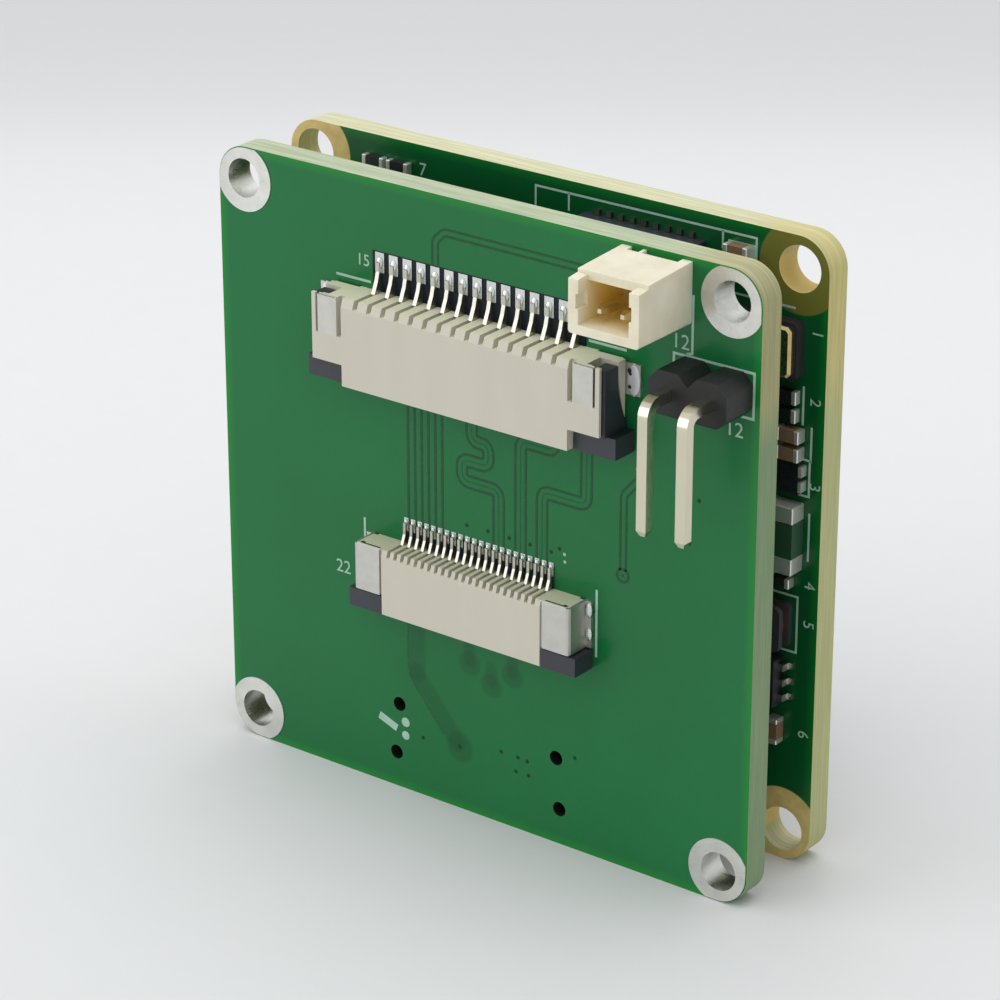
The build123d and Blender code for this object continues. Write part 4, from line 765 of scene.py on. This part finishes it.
INNER_FRAMES = (
    ((-0.81, 14.25), (31.2, 37.25)), ((12.45, 14.12), (36.1, 36.75)),
    ((15.6, 18.15), (22.95, 25.1)), ((14.2, 17.66), (13.27, 16.71)),
)
INNER_STROKES = (
    ((1.53, 37.25), (1.53, 36.2)), ((12.03, 37.25), (12.03, 36.2)),
    ((17.6, 29.4), (17.6, 27.1)), ((18.2, 27.1), (18.2, 25.0)), ((18.24, 21.97), (18.24, 19.06)),
    ((11.3, 29.2), (11.3, 33.8), (16.9, 33.8)), ((14.3, 9.4), (14.3, 13.4)),
)
LENS_STROKE = 0.14
HOLDER_HALF = 7.9
LENS_FRAMES = (((-HOLDER_HALF, HOLDER_HALF),
                (BOARD_MIDDLE - HOLDER_HALF, BOARD_MIDDLE + HOLDER_HALF)),)
LENS_STROKES = (((-15.2, 30.2), (-11.2, 30.2)), ((11.2, 8.0), (15.2, 8.0)))
LENS_DOT = ((-12.9, 31.3), 0.22)
# The rings round the holder's screws: x of their middles, outer and inner radius.
SCREW_RINGS = (10.0, 2.65, 2.52)
LENS_VIAS = ((-13.2, 12.0), (-12.0, 10.8), (-9.0, 6.2), (-4.4, 4.1), (1.6, 5.3), (6.9, 3.9),
             (12.4, 13.1), (13.3, 25.9), (11.0, 31.4), (4.2, 33.2), (-2.5, 34.1), (-8.1, 31.9),
             (-13.6, 25.3))
LENS_PATHS = (
    [(-13.2, 12.0), (-13.2, 17.0), (-11.8, 18.4)], [(-9.0, 6.2), (-9.0, 9.4), (-8.2, 10.2)],
    [(12.4, 13.1), (12.4, 16.5)], [(4.2, 33.2), (4.2, 29.4)],
    [(-2.5, 34.1), (6.6, 34.1), (8.6, 32.1)], [(1.6, 5.3), (1.6, 9.4)],
    [(13.3, 25.9), (13.3, 22.2), (12.2, 21.1)],
)
LENS_GAPS = (0.3, 0.17, 0.1)
# Outer and inner radius of the ring round each via of the lens side.
LENS_VIA_RING = (0.26, 0.13)


def printed(name, face_y, outward, width, frames, strokes):
    """A face's print with its frames and strokes drawn."""
    ink = Film(name, face_y, outward)
    for x_range, z_range in frames:
        ink.box_line(x_range, z_range, width)
    for path in strokes:
        ink.line(path, width)
    return ink


def front_print():
    ink = printed("front_print", FRONT_Y, -1, FRONT_STROKE, FRONT_FRAMES, FRONT_STROKES)
    for centre, radius in FRONT_DOTS:
        ink.disc(centre, radius, steps=12)
    ink.line(MARK_BAR, MARK_BAR_WIDTH)
    for centre, radius in MARK_DOTS:
        ink.disc(centre, radius)
    ink.finish(silk_ink)


def inner_print():
    """Outlines round the parts of the inner face, seen beside and above the other board."""
    ink = printed("inner_print", INNER_Y, -1, INNER_STROKE, INNER_FRAMES, INNER_STROKES)
    ink.finish(silk_ink)


def lens_side_print():
    """Outline of the lens holder and the pin marks on the lens side."""
    ink = printed("lens_side_print", LENS_Y, 1, LENS_STROKE, LENS_FRAMES, LENS_STROKES)
    ring_x, outer, inner = SCREW_RINGS
    for side in (-1, 1):
        ink.ring((side * ring_x, BOARD_MIDDLE), outer, inner, steps=40)
    ink.disc(*LENS_DOT)
    ink.finish(silk_ink)


def lens_side_vias():
    vias = Film("lens_side_vias", LENS_Y, 1)
    for centre in LENS_VIAS:
        vias.ring(centre, *LENS_VIA_RING, steps=18)
        vias.disc(centre, VIA_RADIUS, steps=14)
    vias.finish(via_dark)
    tracks = Film("lens_side_tracks", LENS_Y, 1, FINE_FILM)
    gaps(tracks, LENS_PATHS, *LENS_GAPS)
    tracks.finish(track_gap)


# Printed numbers: name, text, place and size.
FRONT_NUMBERS = (
    ("pin_number_left", "15", (-8.25, 32.95), 1.0),
    ("pin_number_right", "1", (8.1, 32.9), 1.0),
    ("pin_number_narrow", "22", (-10.1, 13.3), 1.15),
    ("header_number", "12", (17.4, 28.85), 1.2),
    ("power_number", "12", (13.8, 33.05), 1.2),
)
INNER_TOP_NUMBER = ("inner_number_top", "7", (-9.0, 36.5), 1.1)
# Places of the numbers 1 to 6, which run down beside the gap and read along the edge.
INNER_COLUMN = ((18.35, 32.6), (18.35, 28.6), (18.5, 23.6), (18.4, 17.6), (18.4, 15.2),
                (18.3, 8.3))
INNER_SIZE = 1.0


def digits(name, text, place, size, face_y, turn=0.0):
    """Plain printed numbers on a board face that looks to the connector side."""
    curve = bpy.data.curves.new(name, "FONT")
    curve.body = text
    curve.size = size * MM
    curve.extrude = FILM * MM / 2
    curve.align_x = "CENTER"
    curve.align_y = "CENTER"
    label = bpy.data.objects.new(name, curve)
    bpy.context.scene.collection.objects.link(label)
    label.location = (place[0] * MM, (face_y - FILM / 2) * MM, place[1] * MM)
    label.rotation_euler = (math.pi / 2, turn, 0.0)
    curve.materials.append(silk_ink)
    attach(label, ROOT)


def all_digits():
    for number in FRONT_NUMBERS:
        digits(*number, FRONT_Y)
    for count, place in enumerate(INNER_COLUMN, start=1):
        digits("inner_number_" + str(count), str(count), place, INNER_SIZE, INNER_Y,
               turn=math.pi / 2)
    digits(*INNER_TOP_NUMBER, INNER_Y)


# Solder, the end caps' folds and the lens thread.

WIDE_CONTACTS, WIDE_PITCH = 15, 1.0
NARROW_CONTACTS, NARROW_PITCH = 22, 0.5
# Beads on the contact feet: height over the socket's housing, and radii along x, y and z.
WIDE_BEAD = (1.72, (0.25, 0.13, 0.38))
NARROW_BEAD = (1.28, (0.13, 0.15, 0.28))
# How far the tabs of the hold-downs and end caps stand off the board.
TAB_HEIGHT = 0.1
# Beads beside the narrow end caps: x from the middle, and z and radii of each.
CAP_BEAD_X = 8.0
CAP_BEADS = ((15.6, (0.24, 0.24, 0.5)), (14.1, (0.22, 0.2, 0.45)))
# Patches on the wide hold-downs' tabs, and their pits: x from the middle, z and radius of each.
PATCH_X, PATCH_Z = 10.86, 30.2
PATCH_RADII = (0.45, 0.14, 0.98)
PITS = ((10.6, 30.72, 0.14), (10.67, 30.55, 0.1), (10.63, 29.78, 0.12))
PIT_OFF_BOARD = 0.16
PIT_HEIGHT = 0.07


def dome(mesh, centre, radii, steps=14, rings=5):
    """Half an ellipsoid standing on the connector face."""
    top = mesh.verts.new((centre[0] * MM, (centre[1] - radii[1]) * MM, centre[2] * MM))
    last = None
    for ring in range(1, rings + 1):
        rise = math.cos(ring / rings * math.pi / 2)
        spread = math.sin(ring / rings * math.pi / 2)
        loop = []
        for step in range(steps):
            angle = 2 * math.pi * step / steps
            loop.append(mesh.verts.new(((centre[0] + radii[0] * spread * math.cos(angle)) * MM,
                                        (centre[1] - radii[1] * rise) * MM,
                                        (centre[2] + radii[2] * spread * math.sin(angle)) * MM)))
        for step in range(steps):
            after = (step + 1) % steps
            if last is None:
                mesh.faces.new((top, loop[step], loop[after]))
            else:
                mesh.faces.new((last[step], loop[step], loop[after], last[after]))
        last = loop
    mesh.faces.new(last)


def contact_xs(count, pitch):
    return [(index - (count - 1) / 2) * pitch for index in range(count)]


def solder():
    """Solder on the contact feet, at the end caps and on the wide socket's hold-down tabs."""
    pad_y = FRONT_Y - PAD_HEIGHT
    tab_y = FRONT_Y - TAB_HEIGHT
    beads = bmesh.new()
    wide_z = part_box("wide_socket_housing")[1].z / MM + WIDE_BEAD[0]
    narrow_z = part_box("narrow_socket_housing")[1].z / MM + NARROW_BEAD[0]
    for x in contact_xs(WIDE_CONTACTS, WIDE_PITCH):
        dome(beads, (x, pad_y, wide_z), WIDE_BEAD[1])
    for x in contact_xs(NARROW_CONTACTS, NARROW_PITCH):
        dome(beads, (x, pad_y, narrow_z), NARROW_BEAD[1], steps=10, rings=4)
    patches = bmesh.new()
    pits = Film("hold_down_pits", FRONT_Y - PIT_OFF_BOARD, -1, PIT_HEIGHT)
    for side in (-1, 1):
        for z, radii in CAP_BEADS:
            dome(beads, (side * CAP_BEAD_X, tab_y, z), radii)
        dome(patches, (side * PATCH_X, tab_y, PATCH_Z), PATCH_RADII, steps=26, rings=7)
        for x, z, radius in PITS:
            pits.disc((side * x, z), radius, steps=12)
    piece_from(beads, "solder_fillets", tin, ROOT, smooth=True)
    piece_from(patches, "hold_down_solder", tab_solder, ROOT, smooth=True)
    pits.finish(slit_shade_and_specks, "tin_plating")


# The narrow end caps' folded upper edge, painted lighter as a highlight, and the slit behind it,
# drawn as a dark film of painted shade: x range from the middle, y range behind the cap's front,
# and height over the cap.
CAP_FOLDS = (((5.82, 7.56), (0.005, 0.11), 0.05),)
CAP_SLITS = (((6.0, 7.42), (0.11, 0.3), FILM), ((7.2, 7.48), (0.3, 0.42), FILM))


def block(mesh, low, high):
    """A box between two corners in millimetres."""
    lower = [(low[0], low[1]), (high[0], low[1]), (high[0], high[1]), (low[0], high[1])]
    bottom, top = ([mesh.verts.new((x * MM, y * MM, z * MM)) for x, y in lower]
                   for z in (low[2], high[2]))
    mesh.faces.new(bottom[::-1])
    mesh.faces.new(top)
    for index in range(4):
        after = (index + 1) % 4
        mesh.faces.new((bottom[index], bottom[after], top[after], top[index]))


def cap_folds():
    """The folded upper edge of each narrow end cap, painted lighter as a highlight, with a dark
    film of painted shade for the slit behind it.
    """
    low, high = (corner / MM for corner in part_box("narrow_socket_end_caps"))
    for name, material, blocks in (("narrow_cap_folds", lit_cap_fold, CAP_FOLDS),
                                   ("narrow_cap_slits", slit_shade_and_specks, CAP_SLITS)):
        mesh = bmesh.new()
        for side in (-1, 1):
            for x_range, (near_y, far_y), height in blocks:
                low_x, high_x = sorted(side * x for x in x_range)
                block(mesh, (low_x, low.y + near_y, high.z),
                      (high_x, low.y + far_y, high.z + height))
        piece_from(mesh, name, material, ROOT)


# The lens thread: its start behind the holder's end, its length, pitch and steps in a turn, and
# the radius and shift of its section's corners.
THREAD_GAP = 0.2
THREAD_LENGTH = 0.4
THREAD_PITCH = 0.5
THREAD_STEPS = 48
THREAD_SECTION = ((5.9, -0.2), (6.16, -0.04), (6.16, 0.04), (5.9, 0.2))


def lens_thread():
    """The turns of thread that show between the holder's tube and the lens head."""
    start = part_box("lens_holder")[1].y / MM + THREAD_GAP
    mesh = bmesh.new()
    rows = []
    for index in range(int(THREAD_LENGTH / THREAD_PITCH * THREAD_STEPS) + 1):
        share = index / THREAD_STEPS
        along = start + THREAD_PITCH * share
        row = []
        for radius, shift in THREAD_SECTION:
            x, z = turned((0.0, BOARD_MIDDLE), radius, share)
            row.append(mesh.verts.new((x * MM, (along + shift) * MM, z * MM)))
        rows.append(row)
    for before, after in zip(rows, rows[1:]):
        for index in range(4):
            beside = (index + 1) % 4
            mesh.faces.new((before[index], before[beside], after[beside], after[index]))
    mesh.faces.new(rows[0])
    mesh.faces.new(rows[-1][::-1])
    piece_from(mesh, "lens_thread", lens_black, "lens")


front_tracks()
front_buried_edge()
front_vias()
front_mask_openings()
front_print()
inner_print()
lens_side_print()
lens_side_vias()
all_digits()
solder()
cap_folds()
lens_thread()


# Studio.

# Half the floor's side, in metres.
FLOOR_REACH = 2.5
# Tone of the floor at distances along the view, in millimetres from the module: painted fall-off
# of the light, darker near the camera and far behind.
FLOOR_TONES = ((-60.0, 0.78), (-10.0, 0.82), (40.0, 0.86), (90.0, 0.87), (118.0, 0.84),
               (136.0, 0.74), (160.0, 0.70), (200.0, 0.69))
FLOOR_NEAR = FLOOR_TONES[0][0]
FLOOR_FAR = FLOOR_TONES[-1][0]
# The direction along x and y in which the floor recedes.
FLOOR_AWAY = (-0.608, 0.794)
# The light all round: its colour, the direction it is strongest from, its strength at right
# angles to that direction and in it, and its strength in mirrors and through glass.
SKY_COLOUR = (0.96, 0.98, 1.0, 1.0)
SKY_TOP = (-0.3, -0.4, 0.85)
SKY_LEVELS = (0.43, 0.80)
MIRROR_LEVEL = 0.9
# The lamps: name, place and side in metres, and power in watts. Both face one point.
LAMPS = (("top_light", (0.02, 0.06, 0.45), 0.40, 0.80),
         ("window_light", (-0.33, -0.36, 0.15), 0.42, 0.78))
LIT_POINT = (0.0, -0.008, 0.02)


def floor():
    """A pale sweep under the module, with painted fall-off of light: a little darker near the
    camera and far behind it.
    """
    mesh = bmesh.new()
    corners = [(-FLOOR_REACH, -FLOOR_REACH), (FLOOR_REACH, -FLOOR_REACH),
               (FLOOR_REACH, FLOOR_REACH), (-FLOOR_REACH, FLOOR_REACH)]
    mesh.faces.new([mesh.verts.new((x, y, 0.0)) for x, y in corners])
    data = bpy.data.meshes.new("studio_floor")
    mesh.to_mesh(data)
    mesh.free()
    graph = Graph("studio_paper")
    x, y, _ = graph.axes()
    away = graph.math("ADD", graph.math("MULTIPLY", x, FLOOR_AWAY[0]),
                      graph.math("MULTIPLY", y, FLOOR_AWAY[1]))
    tones = graph.node("ShaderNodeValToRGB")
    graph.link(graph.remap(away, FLOOR_NEAR, FLOOR_FAR), tones.inputs["Fac"])
    tones.color_ramp.interpolation = "B_SPLINE"
    stops = tones.color_ramp.elements
    stops.remove(stops[-1])
    for index, (distance, grey) in enumerate(FLOOR_TONES):
        share = (distance - FLOOR_NEAR) / (FLOOR_FAR - FLOOR_NEAR)
        stop = stops.new(share) if index else stops[0]
        stop.position = share
        stop.color = (grey, grey, grey, 1.0)
    fibres = graph.noise(0.4, detail=4.0)
    paper = graph.node("ShaderNodeHueSaturation")
    graph.link(tones.outputs["Color"], paper.inputs["Color"])
    graph.link(graph.remap(fibres, *NOISE_RANGE, 0.995, 1.005), paper.inputs["Value"])
    graph.set("Base Color", paper.outputs["Color"])
    graph.set("Roughness", 0.6)
    graph.set("Specular IOR Level", 0.3)
    data.materials.append(graph.material)
    plane = bpy.data.objects.new("studio_floor", data)
    bpy.context.scene.collection.objects.link(plane)


def lamp(name, place, side, power):
    """A square soft light that faces the lit point."""
    data = bpy.data.lights.new(name, "AREA")
    data.shape = "SQUARE"
    data.size = side
    data.energy = power
    made = bpy.data.objects.new(name, data)
    made.location = place
    made.rotation_euler = (Vector(LIT_POINT) - Vector(place)).to_track_quat("-Z", "Y").to_euler()
    bpy.context.scene.collection.objects.link(made)


def surround():
    """Light from all round, stronger from the upper left in front, and near white in mirrors."""
    world = bpy.data.worlds.new("studio_light")
    world.use_nodes = True
    tree = Tree(world.node_tree)
    background = world.node_tree.nodes["Background"]
    background.inputs["Color"].default_value = SKY_COLOUR
    place = tree.node("ShaderNodeTexCoord")
    slope = tree.node("ShaderNodeVectorMath", operation="DOT_PRODUCT")
    slope.inputs[1].default_value = Vector(SKY_TOP).normalized()
    tree.link(place.outputs["Generated"], slope.inputs[0])
    level = tree.remap(slope.outputs["Value"], 0.0, 1.0, *SKY_LEVELS)
    rays = tree.node("ShaderNodeLightPath")
    mirror = tree.math("MAXIMUM", rays.outputs["Is Glossy Ray"],
                       rays.outputs["Is Transmission Ray"])
    strength = tree.mix(mirror, level, MIRROR_LEVEL, kind="FLOAT")
    tree.link(strength, background.inputs["Strength"])
    bpy.context.scene.world = world


def studio():
    floor()
    surround()
    for name, place, side, power in LAMPS:
        lamp(name, place, side, power)
    bpy.context.scene.view_settings.view_transform = "Standard"


# The photograph's viewpoint, solved from the boards' outlines and holes: place in millimetres from
# the middle of the connector face's bottom edge, and angles in radians.
CAMERA_PLACE = (121.2438, -156.1573, 104.8297)
CAMERA_YAW = 0.6539
CAMERA_PITCH = -0.4043
FOCAL_PIXELS = 3768.339
IMAGE_PIXELS = 1000
SENSOR_WIDTH = 36.0
# Nearest and farthest distance that the camera sees, in metres.
CLIP_START, CLIP_END = 0.01, 10.0


def camera():
    data = bpy.data.cameras.new("camera")
    data.sensor_width = SENSOR_WIDTH
    data.lens = FOCAL_PIXELS / IMAGE_PIXELS * SENSOR_WIDTH
    data.clip_start = CLIP_START
    data.clip_end = CLIP_END
    made = bpy.data.objects.new("camera", data)
    made.location = (CAMERA_PLACE[0] * MM, (CAMERA_PLACE[1] + FRONT_Y) * MM, CAMERA_PLACE[2] * MM)
    made.rotation_euler = (math.pi / 2 + CAMERA_PITCH, 0.0, CAMERA_YAW)
    bpy.context.scene.collection.objects.link(made)
    bpy.context.scene.camera = made


studio()
camera()

bpy.context.view_layer.update()
